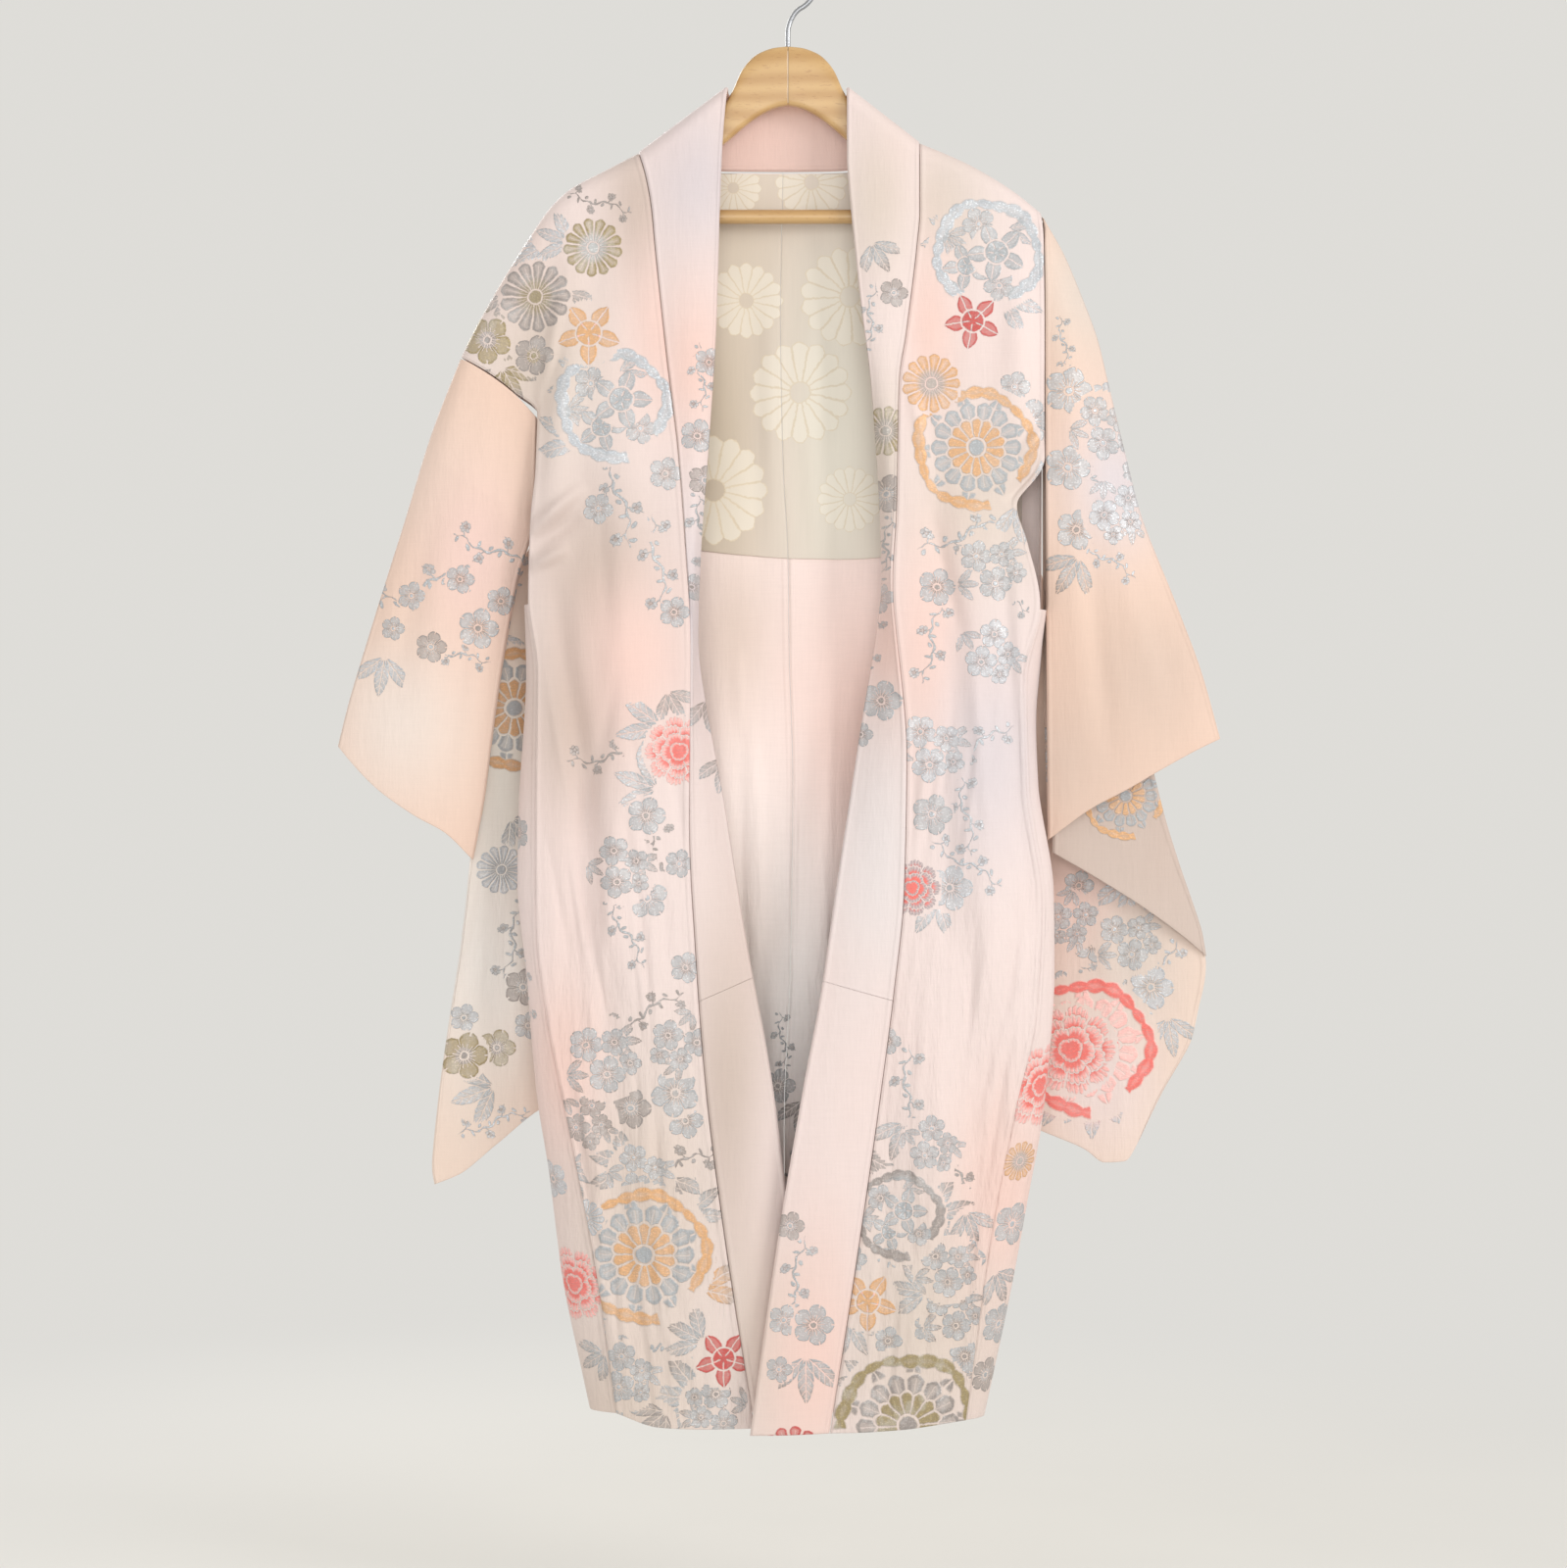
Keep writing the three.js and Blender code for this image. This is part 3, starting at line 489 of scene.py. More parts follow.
@dataclass(frozen=True)
class Motif:
    """One woven figure: what it is, its two threads, where its middle is and its size."""

    kind: Kind
    thread: Thread
    accent: Thread
    x: float
    drop: float
    radius: float
    turn: float = 0.0

    def local(self, place: Array) -> Array:
        """Places of x and drop in the figure's own frame, with its radius as the unit."""
        off = (place - np.array([self.x, self.drop])) / self.radius
        angle = math.radians(self.turn)
        return np.stack([off[..., 0] * math.cos(angle) + off[..., 1] * math.sin(angle),
                         off[..., 0] * math.sin(angle) - off[..., 1] * math.cos(angle)], axis=-1)

    def covers(self, local: Array) -> Array:
        """Whether places in the figure's own frame belong to it."""
        if self.kind is TWIG:
            return (np.abs(local[..., 0]) < 1.0) & (np.abs(local[..., 1]) < TWIG_HALF)
        return np.hypot(local[..., 0], local[..., 1]) < 1.04


def motifs(*rows: tuple) -> list[Motif]:
    """Figures from rows of kind, thread, accent, and a place and size for each of them.

    Args:
        rows: the first three, then x, drop, radius and, if any, turn in degrees of each.

    Returns:
        The figures, where an earlier one lies over a later one.
    """
    return [Motif(*same, *place) for *same, place in
            ((*row[:3], place) for row in rows for place in row[3:])]


@dataclass(frozen=True)
class Strewn:
    """Figures strewn over a region by chance, for the sides that hang away from the front."""

    low: tuple[float, float]         # x and drop of the region's corners, mm
    high: tuple[float, float]
    count: int
    seed: int
    tries: int = 40                  # places tried for each figure
    apart: float = 0.9               # least distance, in the two figures' radii

    def rows(self) -> list[Motif]:
        """Figures that keep their distance, the larger ones first."""
        chance = np.random.default_rng(self.seed)
        kinds = ((RINGED, 52), (MEDALLION, 46), (PEONY, 36), (CHRYSANTHEMUM, 28), (MANDARIN, 24),
                 (CLUSTER, 34), (TWIG, 36), (SPRAY, 22), (CLUSTER, 28), (TWIG, 34), (PLUM, 17),
                 (SPRAY, 20))
        threads = ((APRICOT, SILVER), (SILVER, FROST), (CORAL, ROSE), (OLIVE, TAUPE),
                   (APRICOT, ROSE), (TAUPE, SILVER), (SILVER, TAUPE), (SILVER, FROST))
        placed: list[Motif] = []
        for i in range(self.count):
            k = min(int(len(kinds) * (i / self.count) ** 0.6), len(kinds) - 1)
            kind, size = kinds[k]
            main, accent = threads[k if k < 5 else int(chance.integers(5, 8))]
            for _ in range(self.tries):
                x = chance.uniform(self.low[0], self.high[0])
                drop = self.high[1] - (self.high[1] - self.low[1]) * chance.uniform() ** 1.3
                if not any(np.hypot(x - m.x, drop - m.drop) < self.apart * (size + m.radius)
                           for m in placed):
                    turn = chance.uniform(0, 360) if k >= 3 else 0.0
                    placed.append(Motif(kind, main, accent, x, drop, size, turn))
                    break
        return placed


@dataclass(frozen=True)
class DyeAndPaintedShading:
    """The silk's ground colour: one colour, with soft clouds of others. Some clouds are dye, some are
    painted shade and some are painted light.

    Each cloud is a row of x, drop, reach across, reach down and its colour, and fades out
    as a bell curve.
    """

    ground: tuple[int, int, int]
    clouds: Sequence[tuple[float, float, float, float, tuple[int, int, int]]] = ()

    def at(self, place: Array) -> Array:
        """Linear colours at places of x and drop."""
        colour = np.ones((*place.shape[:-1], 3)) * np.array(linear(*self.ground))
        for x, drop, wide, tall, tint in self.clouds:
            share = np.exp(-((place[..., 0] - x) / wide) ** 2 - ((place[..., 1] - drop) / tall) ** 2)
            colour += share[..., None] * (np.array(linear(*tint)) - colour)
        return colour * PALEST


# --- cloth pieces


def new_mesh(name: str, points: Array, faces: Sequence[Sequence[int]]) -> Mesh:
    """A smoothly shaded mesh of points, in metres, and faces."""
    mesh = bpy.data.meshes.new(name)
    mesh.from_pydata(points.tolist(), [], faces)
    mesh.polygons.foreach_set("use_smooth", np.ones(len(faces), bool))
    return mesh


def stand_for(node: str, mesh: Mesh, slot: str) -> Object:
    """Puts a mesh in a CAD node's place and hides the node."""
    piece = bpy.data.objects.new(mesh.name, mesh)
    bpy.context.scene.collection.objects.link(piece)
    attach(piece, "root")
    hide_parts(node)
    return piece


def store(mesh: Mesh, name: str, values: Array, domain: str = "POINT") -> None:
    """Keeps a number or a colour for each point or corner as a named attribute."""
    kind, key = ("FLOAT", "value") if values.ndim == 1 else ("FLOAT_COLOR", "color")
    layer = mesh.attributes.new(name, kind, domain)
    layer.data.foreach_set(key, values.astype(np.float32).ravel())


def unwrap(mesh: Mesh, name: str, places: Array) -> None:
    """Keeps two coordinates for each corner as a named UV map."""
    layer = mesh.uv_layers.new(name=name)
    layer.data.foreach_set("uv", places.astype(np.float32).ravel())


@dataclass
class ClothPiece:
    """One cut piece of cloth, as a thin closed shell on a surface."""

    name: str
    surface: Surface
    flat: tuple[float, float]        # width and length it was cut to, metres
    area: float                      # of the cut, square metres
    thickness: float = CLOTH
    cut: Cut = Cut()
    figures: Sequence[Motif] = ()
    dye: DyeAndPaintedShading = DyeAndPaintedShading((243, 224, 215))
    around: bool = False             # figures follow the cloth's own width, not x
    crepe: Callable[[Array], Array] = np.zeros_like    # how crimped it is at a drop
    slot: str = "silk"
    rests_on: Sequence[str] = ARM_NODES
    lift: float = 0.0                # off its surface along the normals, mm
    inside: Sequence[Motif] | None = None    # figures on the wearer's side of a back, if others
    paler: float = 1.0               # painted light: dye on a back's inside, as a share of that outside, paler where the fronts shadow it

    def build(self, wardrobe: "Wardrobe") -> Object:
        """Makes the shell, paints its attributes and dresses it.

        The front face is the grid moved half the thickness along its normals and the back
        face half the other way. Both share the points of the rim, where the cloth has no
        thickness.

        Args:
            wardrobe: the finishes by name.

        Returns:
            The finished object.
        """
        grid = self.cut.grid(self.surface, self.thickness)
        out = grid.normals()
        off = out * (grid.full * self.thickness / 2)[..., None]
        centre = grid.points[..., [X, Y, DROP]] * np.array([1, 1, -1]) + out * self.lift
        front, back = (centre + off).reshape(-1, 3), (centre - off).reshape(-1, 3)
        rim = grid.full.ravel() == 0
        number = np.arange(len(front))
        behind = np.where(rim, number, len(front) + np.cumsum(~rim) - 1)
        n = number.reshape(grid.full.shape)
        quads = np.stack([n[:-1, :-1], n[:-1, 1:], n[1:, 1:], n[1:, :-1]], -1).reshape(-1, 4)
        corners = np.concatenate([quads, behind[quads][:, ::-1]])
        source = np.concatenate([quads, quads[:, ::-1]])
        points = np.concatenate([front, back[~rim]]) * MM
        mesh = new_mesh(f"{self.name}_cloth", points, corners.tolist())
        self.paint(mesh, grid, source, np.concatenate([number, number[~rim]]), wardrobe)
        piece = stand_for(self.name, mesh, self.slot)
        list(self.rests_on)
        wide, tall, area = grid.size()
        LOG.info("%s: %d faces, cut %.3f x %.3f m, %.4f m2", self.name, len(corners), wide, tall, area)
        return piece

    def paint(self, mesh: Mesh, grid: Grid, source: Array, origin: Array,
              wardrobe: "Wardrobe") -> None:
        """Gives the mesh its dye with painted shade and light, its seam distances, its figures and their
        finishes.

        Args:
            mesh: the shell.
            grid: the grid it was made on.
            source: the grid's points at each face's corners.
            origin: the grid's point of each of the shell's points.
            wardrobe: the finishes by name.
        """
        across = grid.flat()[..., 0]
        seam = np.minimum(across, across[:, -1:] - across).ravel()
        flat = grid.flat().reshape(-1, 2)
        hung = grid.points.reshape(-1, 3)[:, [X, DROP]]
        inwards = grid.normals()[..., 1].mean() < 0
        dye = np.column_stack([self.dye.at(hung), np.ones(len(hung))])[origin]
        # painted light: the inside of a back is made paler
        dye[(np.arange(len(origin)) < len(flat)) == inwards, :3] *= self.paler
        store(mesh, "dye", dye)
        store(mesh, "seam", seam[origin])
        store(mesh, "crepe", self.crepe(hung[:, 1])[origin])
        unwrap(mesh, "weave", flat[source] * MM)

        place = np.column_stack([flat[:, 0], hung[:, 1]]) if self.around else hung
        spots = place[source]
        middle = spots.mean(axis=1)
        outer = (np.arange(len(source)) < len(source) / 2) != inwards
        shown = [(figure, outer | (self.inside is None)) for figure in self.figures]
        shown += [(figure, ~outer) for figure in self.inside or ()]
        kinds = sorted({figure.kind for figure, _ in shown}, key=lambda kind: kind.name)
        for kind in (None, *kinds):
            mesh.materials.append(wardrobe.finish(self.slot, kind))
        free = np.ones(len(source), bool)
        local = np.full((len(source), 4, 2), NOWHERE)
        threads = np.zeros((2, len(source), 4, 4))
        slots = np.zeros(len(source), np.int32)
        for figure, faces in shown:
            mine = free & faces & figure.covers(figure.local(middle))
            free &= ~mine
            local[mine] = figure.local(spots[mine])
            threads[0, mine], threads[1, mine] = figure.thread.value, figure.accent.value
            slots[mine] = 1 + kinds.index(figure.kind)
        mesh.polygons.foreach_set("material_index", slots)
        unwrap(mesh, "figure", local)
        for name, colours in zip(("thread", "accent"), threads):
            store(mesh, name, colours, "CORNER")
        mesh.update()


# --- shader maths


class Value:
    """A number in a node tree. Python's operators add the Math nodes."""

    def __init__(self, tree: "Finish", socket: NodeSocket) -> None:
        """Args: tree: whose nodes it belongs to. socket: where the number comes from."""
        self.tree, self.socket = tree, socket

    def math(self, operation: str, *others: "Value | float") -> "Value":
        """This number and others through one Math node."""
        return self.tree.math(operation, self, *others)

    def __add__(self, other: "Value | float") -> "Value":
        """Sum."""
        return self.math("ADD", other)

    __radd__ = __add__

    def __sub__(self, other: "Value | float") -> "Value":
        """Difference."""
        return self.math("SUBTRACT", other)

    def __rsub__(self, other: float) -> "Value":
        """A number less this one."""
        return self.tree.math("SUBTRACT", other, self)

    def __mul__(self, other: "Value | float") -> "Value":
        """Product."""
        return self.math("MULTIPLY", other)

    __rmul__ = __mul__

    def __pow__(self, other: float) -> "Value":
        """Power."""
        return self.math("POWER", other)

    def sin(self) -> "Value":
        """Sine."""
        return self.math("SINE")

    def cos(self) -> "Value":
        """Cosine."""
        return self.math("COSINE")

    def abs(self) -> "Value":
        """Without its sign."""
        return self.math("ABSOLUTE")

    def floor(self) -> "Value":
        """Whole part."""
        return self.math("FLOOR")

    def root(self) -> "Value":
        """Square root."""
        return self.math("SQRT")

    def max(self, other: "Value | float") -> "Value":
        """The larger one."""
        return self.math("MAXIMUM", other)

    def within(self, soft: float = 0.02) -> "Value":
        """One where this distance is negative, none where positive, smooth over `soft`."""
        return 1 - self.tree.smooth(self, -soft, soft)


@dataclass(frozen=True)
class Frame:
    """A figure's own frame: its two directions, its distance and angle from the middle."""

    p: Value
    q: Value
    radius: Value
    angle: Value

    def disc(self, reach: float) -> Value:
        """One within a distance of the middle."""
        return (self.radius - reach).within()

    def ring(self, middle: float, half: float, soft: float = 0.02) -> Value:
        """One where the distance from the middle is within half a width of a given one."""
        return ((self.radius - middle).abs() - half).within(soft)


class Finish:
    """A material whose nodes are added through a few short methods."""

    def __init__(self, name: str) -> None:
        """Args: name: of the material."""
        self.material = bpy.data.materials.new(name)
        self.material.use_nodes = True
        self.nodes = self.material.node_tree.nodes
        self.links = self.material.node_tree.links
        self.nodes.clear()
        self.output = self.nodes.new("ShaderNodeOutputMaterial")

    def node(self, kind: str, settings: dict | None = None,
             inputs: dict | None = None) -> Node:
        """Adds a node.

        Args:
            kind: its type.
            settings: its own settings, set first.
            inputs: numbers, colours or links for its sockets, by name or place.

        Returns:
            The node.
        """
        made = self.nodes.new(kind)
        for name, value in (settings or {}).items():
            setattr(made, name, value)
        for key, value in (inputs or {}).items():
            source = value.socket if isinstance(value, Value) else value
            if isinstance(source, NodeSocket):
                self.links.new(source, made.inputs[key])
            else:
                made.inputs[key].default_value = source
        return made

    def math(self, operation: str, *numbers: "Value | float") -> Value:
        """Numbers through one Math node, in order."""
        made = self.node("ShaderNodeMath", {"operation": operation}, dict(enumerate(numbers)))
        return Value(self, made.outputs[0])

    def parts(self, vector: NodeSocket) -> list[Value]:
        """The three numbers of a vector or colour."""
        made = self.node("ShaderNodeSeparateXYZ", {}, {0: vector})
        return [Value(self, socket) for socket in made.outputs]

    def smooth(self, value: Value, low: float, high: float) -> Value:
        """None below low, one above high, a smooth step between them."""
        made = self.node("ShaderNodeMapRange", {"interpolation_type": "SMOOTHSTEP"},
                         {"Value": value, "From Min": low, "From Max": high})
        return Value(self, made.outputs["Result"])

    def mix(self, share: "Value | float", first: object, second: object) -> NodeSocket:
        """A colour between two, by a share."""
        made = self.node("ShaderNodeMix", {"data_type": "RGBA"}, {0: share, 6: first, 7: second})
        return made.outputs[2]

    def tint(self, colour: NodeSocket, by: Triple) -> NodeSocket:
        """A colour times another, channel by channel."""
        made = self.node("ShaderNodeVectorMath", {"operation": "MULTIPLY"}, {0: colour, 1: by})
        return made.outputs[0]

    def scaled(self, colour: NodeSocket, share: Value) -> NodeSocket:
        """A colour times a number."""
        made = self.node("ShaderNodeVectorMath", {"operation": "SCALE"}, {0: colour, "Scale": share})
        return made.outputs[0]

    def place(self, scale: Triple) -> NodeSocket:
        """The coat's own coordinates, scaled along each axis."""
        coordinates = self.node("ShaderNodeTexCoord").outputs["Object"]
        made = self.node("ShaderNodeMapping", {}, {"Vector": coordinates, "Scale": scale})
        return made.outputs[0]

    def noise(self, scale: Triple, detail: float = 2.0, roughness: float = 0.5) -> Value:
        """Smooth noise from none to one, so many cells a metre along each axis."""
        made = self.node("ShaderNodeTexNoise", {}, {"Vector": self.place(scale), "Scale": 1.0,
                                                    "Detail": detail, "Roughness": roughness})
        return Value(self, made.outputs["Fac"])

    def attribute(self, name: str) -> Node:
        """The node that reads a named attribute of the piece."""
        return self.node("ShaderNodeAttribute", {"attribute_name": name})

    def bump(self, height: Value, strength: float, distance: float) -> NodeSocket:
        """A normal from a height."""
        made = self.node("ShaderNodeBump", {}, {"Height": height, "Strength": strength,
                                                "Distance": distance})
        return made.outputs["Normal"]

    def surface(self, **inputs: object) -> Material:
        """Closes the material with one Principled shader.

        Args:
            inputs: its sockets by name, with _ for a space.

        Returns:
            The material.
        """
        sockets = {name.replace("_", " "): value for name, value in inputs.items()}
        shader = self.node("ShaderNodeBsdfPrincipled", {}, sockets)
        self.links.new(shader.outputs[0], self.output.inputs["Surface"])
        return self.material


# --- woven figures


@dataclass(frozen=True)
class Petals:
    """A ring of petals or leaves, mirrored about the middle of each."""

    frame: Frame
    count: int

    def part(self) -> tuple[Value, Value]:
        """Distances along the middle of the nearest petal and away from it.

        The angle less the nearest whole number of petals, turned back into lengths.
        """
        turns = self.frame.angle * (self.count / math.tau)
        rest = (turns - (turns + 0.5).floor()) * (math.tau / self.count)
        return self.frame.radius * rest.cos(), (self.frame.radius * rest.sin()).abs()

    def blunt(self, inner: float, outer: float, filling: float) -> Value:
        """Petals with rounded ends: how far outside them a place is."""
        along, away = self.part()
        half = math.tan(math.pi / self.count)
        end = along + away * away * (0.9 / (outer * half)) - outer
        return (away - along * (half * filling)).max(end).max(inner - along)

    def round(self, middle: float, reach: float) -> Value:
        """Round petals: distance from each one's middle less its reach."""
        along, away = self.part()
        half = math.tan(math.pi / self.count)
        circle = ((along - middle) ** 2 + away ** 2).root() - reach
        return circle.max(away - along * (half * 0.93))

    def pointed(self, inner: float, outer: float, half: float) -> Value:
        """Leaves: how far outside a lens from inner to outer, half wide at its middle."""
        along, away = self.part()
        share = (along - inner) * (1 / (outer - inner))
        return (away - share * (1 - share) * (4 * half)).max(share.abs() - 1)


Woven = tuple[Value, Value]          # a figure's cover, and its share of the accent


class Weaver:
    """Works out where a figure's thread lies: its cover and its share of the accent."""

    stray = 3.4                      # how far the outlines stray, mm

    def __init__(self, tree: Finish, kind: Kind) -> None:
        """Args: tree: the material's nodes. kind: the figure."""
        self.tree, self.kind = tree, kind
        stray = tree.noise((110, 110, 110), 4.0, 0.80).socket.node.outputs["Color"]
        uv = tree.node("ShaderNodeUVMap", {"uv_map": "figure"}).outputs[0]
        self.p, self.q = ((off - 0.5) * (self.stray / kind.value) + at
                          for off, at in list(zip(tree.parts(stray), tree.parts(uv)))[:2])

    def frame(self, x: float = 0.0, y: float = 0.0, scale: float = 1.0) -> Frame:
        """A frame inside the figure, moved and scaled."""
        p, q = (self.p - x) * (1 / scale), (self.q - y) * (1 / scale)
        return self.framed(p, q)

    def framed(self, p: Value, q: Value) -> Frame:
        """A frame from its two directions."""
        return Frame(p, q, (p * p + q * q).root(), q.math("ARCTAN2", p))

    def weave(self) -> Woven:
        """Cover and share of the accent for the kind."""
        return getattr(self, self.kind.name.lower())(self.frame())

    def filled(self, outside: Value, share: float = 0.68) -> Value:
        """Thread over a shape: a part of it inside, all of it along the outline."""
        rim = ((outside + 0.035).abs() - 0.035).within()
        return outside.within() * (rim * (1 - share) + share)

    def chrysanthemum(self, at: Frame) -> Woven:
        """Thirteen long petals with open veins round a disc, with the accent at their roots."""
        petals = Petals(at, 13)
        vein = (petals.part()[1] - 0.014).within(0.012) * at.disc(0.86)
        ray = self.filled(petals.blunt(0.22, 0.98, 0.80)) * (1 - vein * 0.5)
        disc = at.disc(0.17)
        return ray.max(disc), (1 - self.tree.smooth(at.radius, 0.30, 0.62)) * 0.75

    def double(self, at: Frame) -> Woven:
        """Two rings of fourteen blunt petals round a disc, with open veins and outlines."""
        outer, inner = Petals(at, 14), Petals(Frame(at.p, at.q, at.radius, at.angle + 0.2244), 14)
        near = inner.blunt(0.20, 0.62, 0.82)
        heart, gap = near.within(), ((near - 0.03).abs() - 0.03).within(0.01)
        vein = (outer.part()[1] - 0.012).within(0.012) * (0.90 - at.radius).math("SIGN").max(0.0)
        far = self.filled(outer.blunt(0.30, 0.98, 0.85)) * (1 - vein * 0.6) * (1 - gap)
        disc = at.disc(0.17)
        rim = at.ring(0.20, 0.025, 0.01)
        return (far * (1 - heart)).max(heart * (1 - rim)).max(disc), (heart * 0.6).max(disc)

    def plum(self, at: Frame) -> Woven:
        """Five round petals with open stamens round a small disc."""
        petals = self.filled(Petals(at, 5).round(0.56, 0.40), 0.78)
        notch = (0.82 - at.radius).within() * (Petals(at, 5).part()[1] - 0.035).within()
        rays = (Petals(at, 15).part()[1] - 0.02).within(0.015)
        stamens = rays * at.disc(0.50) * (0.16 - at.radius).within()
        disc = at.disc(0.12)
        ring = at.ring(0.17, 0.03)
        cover = (petals * (1 - stamens) * (1 - ring) * (1 - notch)).max(disc)
        return cover, disc.max(at.disc(0.34))

    def peony(self, at: Frame) -> Woven:
        """Four rings of scalloped petals: fringes of the accent, open outlines and clefts.

        A ring's edge is its reach times one less the shares of two absolute cosines, of the
        petals and of the scallops on each.
        """
        cover, accent = None, None
        for count, reach, phase in ((9, 1.0, 0.0), (7, 0.76, 1.3), (5, 0.52, 0.4), (3, 0.27, 2.0)):
            lobe = (at.angle * (count / 2) + phase).cos().abs()
            scallop = (at.angle * (count * 2.5) + phase * 5 + math.pi / 2).cos().abs()
            edge = at.radius * (1 / reach) - (lobe ** 0.5 * 0.20 + scallop * 0.06 + 0.72)
            cleft = (lobe - 0.13).within(0.04) * (0.60 - at.radius * (1 / reach)).within(0.05)
            fringe = self.tree.smooth(edge, -0.26, -0.06)
            vein = ((at.angle * (count * 6)).sin() - 0.55).within(0.3)
            whole = edge.within()
            gap = ((edge - 0.03).abs() - 0.035).within(0.012)
            mine = whole * (1 - cleft) * (1 - fringe * (1 - vein) * 0.75)
            cover = mine if cover is None else (cover * (1 - gap) * (1 - whole)).max(mine)
            accent = fringe if accent is None else accent * (1 - whole) + fringe * whole
        return cover, accent * 0.85

    def mandarin(self, at: Frame) -> Woven:
        """Five leaves with open veins behind a small fruit with five open seams."""
        leaf = Petals(at, 5)
        blade = leaf.pointed(0.16, 1.0, 0.26)
        vein = blade.within() * (leaf.part()[1] - 0.020).within(0.015)
        fruit = at.disc(0.36)
        ring = at.ring(0.40, 0.03)
        seeds = Petals(at, 5).pointed(0.09, 0.31, 0.030).within()
        return (self.filled(blade, 0.8) * (1 - vein) * (1 - ring)).max(fruit * (1 - seeds)), vein

    def spray(self, at: Frame) -> Woven:
        """Three pointed leaves from one stem, each with an open vein and side veins."""
        base = self.framed(at.p + 0.80, at.q)
        leaf = Petals(base, 8)
        along, away = leaf.part()
        front = (base.angle.abs() - 1.17).within(0.01)
        body = self.filled(leaf.pointed(0.12, 1.74, 0.29), 0.75) * front
        side = ((along * 22.0 - away * 26.0).sin() - 0.80).within(0.15)
        vein = (0.024 - away).within(0.015)
        return body * vein * side.max(0.35), self.tree.smooth(along, 0.7, 1.5)

    def wave(self, at: Frame, reach: float, half: float) -> Value:
        """A cloud band: a ring that swells unevenly, scalloped on both sides, open in places."""
        middle = (at.angle * 5 + 1.0).sin() * 0.028 + (at.angle * 3).sin() * 0.020 + reach
        width = (at.angle * 4 + 2.0).sin() * 0.018 + (at.angle * 11).sin().abs() * 0.038 + (half - 0.02)
        closed = (at.angle * 2 + 0.6).sin() + (at.angle * 3 + 1.0).sin() * 0.6
        return self.filled((at.radius - middle).abs() - width, 0.86) * self.tree.smooth(closed, -1.1, -1.0)

    def ringed(self, at: Frame) -> Woven:
        """A chrysanthemum on leaves in a cloud band, which is in the flower's inner colour."""
        ring = self.wave(at, 0.88, 0.070)
        cover, heart = self.double(self.frame(0.03, 0.02, 0.72))
        disc = (heart - 0.7).math("SIGN").max(0.0)
        leaf = Petals(Frame(at.p, at.q, at.radius, at.angle + 0.3), 9)
        blade = self.filled(leaf.pointed(0.52, 0.86, 0.10)) * (0.012 - leaf.part()[1]).within(0.01)
        blade = blade * (0.70 - at.radius).within()
        return ring.max(cover).max(blade * (1 - ring)), (1 - ring) * (1 - heart * 1.6).max(0.0).max(disc)

    def group(self, *parts: tuple[Callable[[Frame], Woven], float, float, float]) -> Woven:
        """Figures over each other, each with a clear margin.

        Args:
            parts: rows of a figure's method, its middle's two places and its scale.

        Returns:
            Cover and share of the accent.
        """
        cover, accent = None, None
        for part, x, y, scale in parts:
            at = self.frame(x, y, scale)
            mine, tone = part(at)
            room = 1 - at.disc(0.90)
            cover, accent = (mine, tone) if cover is None else (
                (cover * room).max(mine), (accent * room).max(tone * mine))
        return cover, accent

    def medallion(self, at: Frame) -> Woven:
        """A cloud band round fruit, leaves and two plum flowers."""
        ring = self.wave(at, 0.86, 0.085)
        cover, accent = self.group(
            (self.spray, 0.30, 0.52, 0.28), (self.spray, -0.56, -0.08, 0.26),
            (self.plum, 0.44, -0.38, 0.28), (self.plum, -0.38, 0.36, 0.30),
            (self.mandarin, -0.20, -0.36, 0.42), (self.mandarin, 0.12, 0.10, 0.52))
        return ring.max(cover * at.disc(0.82)), accent

    def cluster(self, at: Frame) -> Woven:
        """Four plum flowers on leaves, close together."""
        return self.group(
            (self.spray, 0.58, 0.44, 0.36), (self.spray, -0.66, -0.40, 0.34),
            (self.plum, 0.62, -0.10, 0.30), (self.plum, -0.44, 0.34, 0.44),
            (self.plum, 0.24, 0.40, 0.36), (self.plum, 0.06, -0.38, 0.48))

    def twig(self, at: Frame) -> Woven:
        """A bent branch with shoots to alternate sides that end in small plum flowers."""
        bend = (at.p * 5.2).sin() * 0.08 + (at.p * 15.0).sin() * 0.035
        off = at.q - bend
        cell = (at.p * 2.0).floor()
        side = 1 - (cell * 0.5 - (cell * 0.5).floor()) * 4
        near = (at.p * 2.0 - cell - 0.5) * 0.5
        above = off * side
        knots = (at.p * 31.0).sin() * 0.006
        stem = (off.abs() - (1.15 - at.p.abs()) * 0.026 + knots).within(0.012)
        shoot = ((near - above * 0.55 + 0.02).abs() - 0.013).within(0.01)
        shoot = shoot * (0.0 - above).within(0.01) * (above - 0.30).within(0.01)
        flower = self.framed((near - 0.04) * (1 / 0.13), (above - 0.20) * (1 / 0.13))
        bloom, heart = self.plum(flower)
        bud = (((near + 0.15) ** 2 + (above + 0.11) ** 2).root() - 0.05).within(0.012)
        leaf = (((near - 0.13) * 2.2) ** 2 + (above + 0.09) ** 2).root() - 0.075
        return stem.max(shoot).max(bloom).max(bud).max(leaf.within(0.012)), heart * bloom


# --- finishes


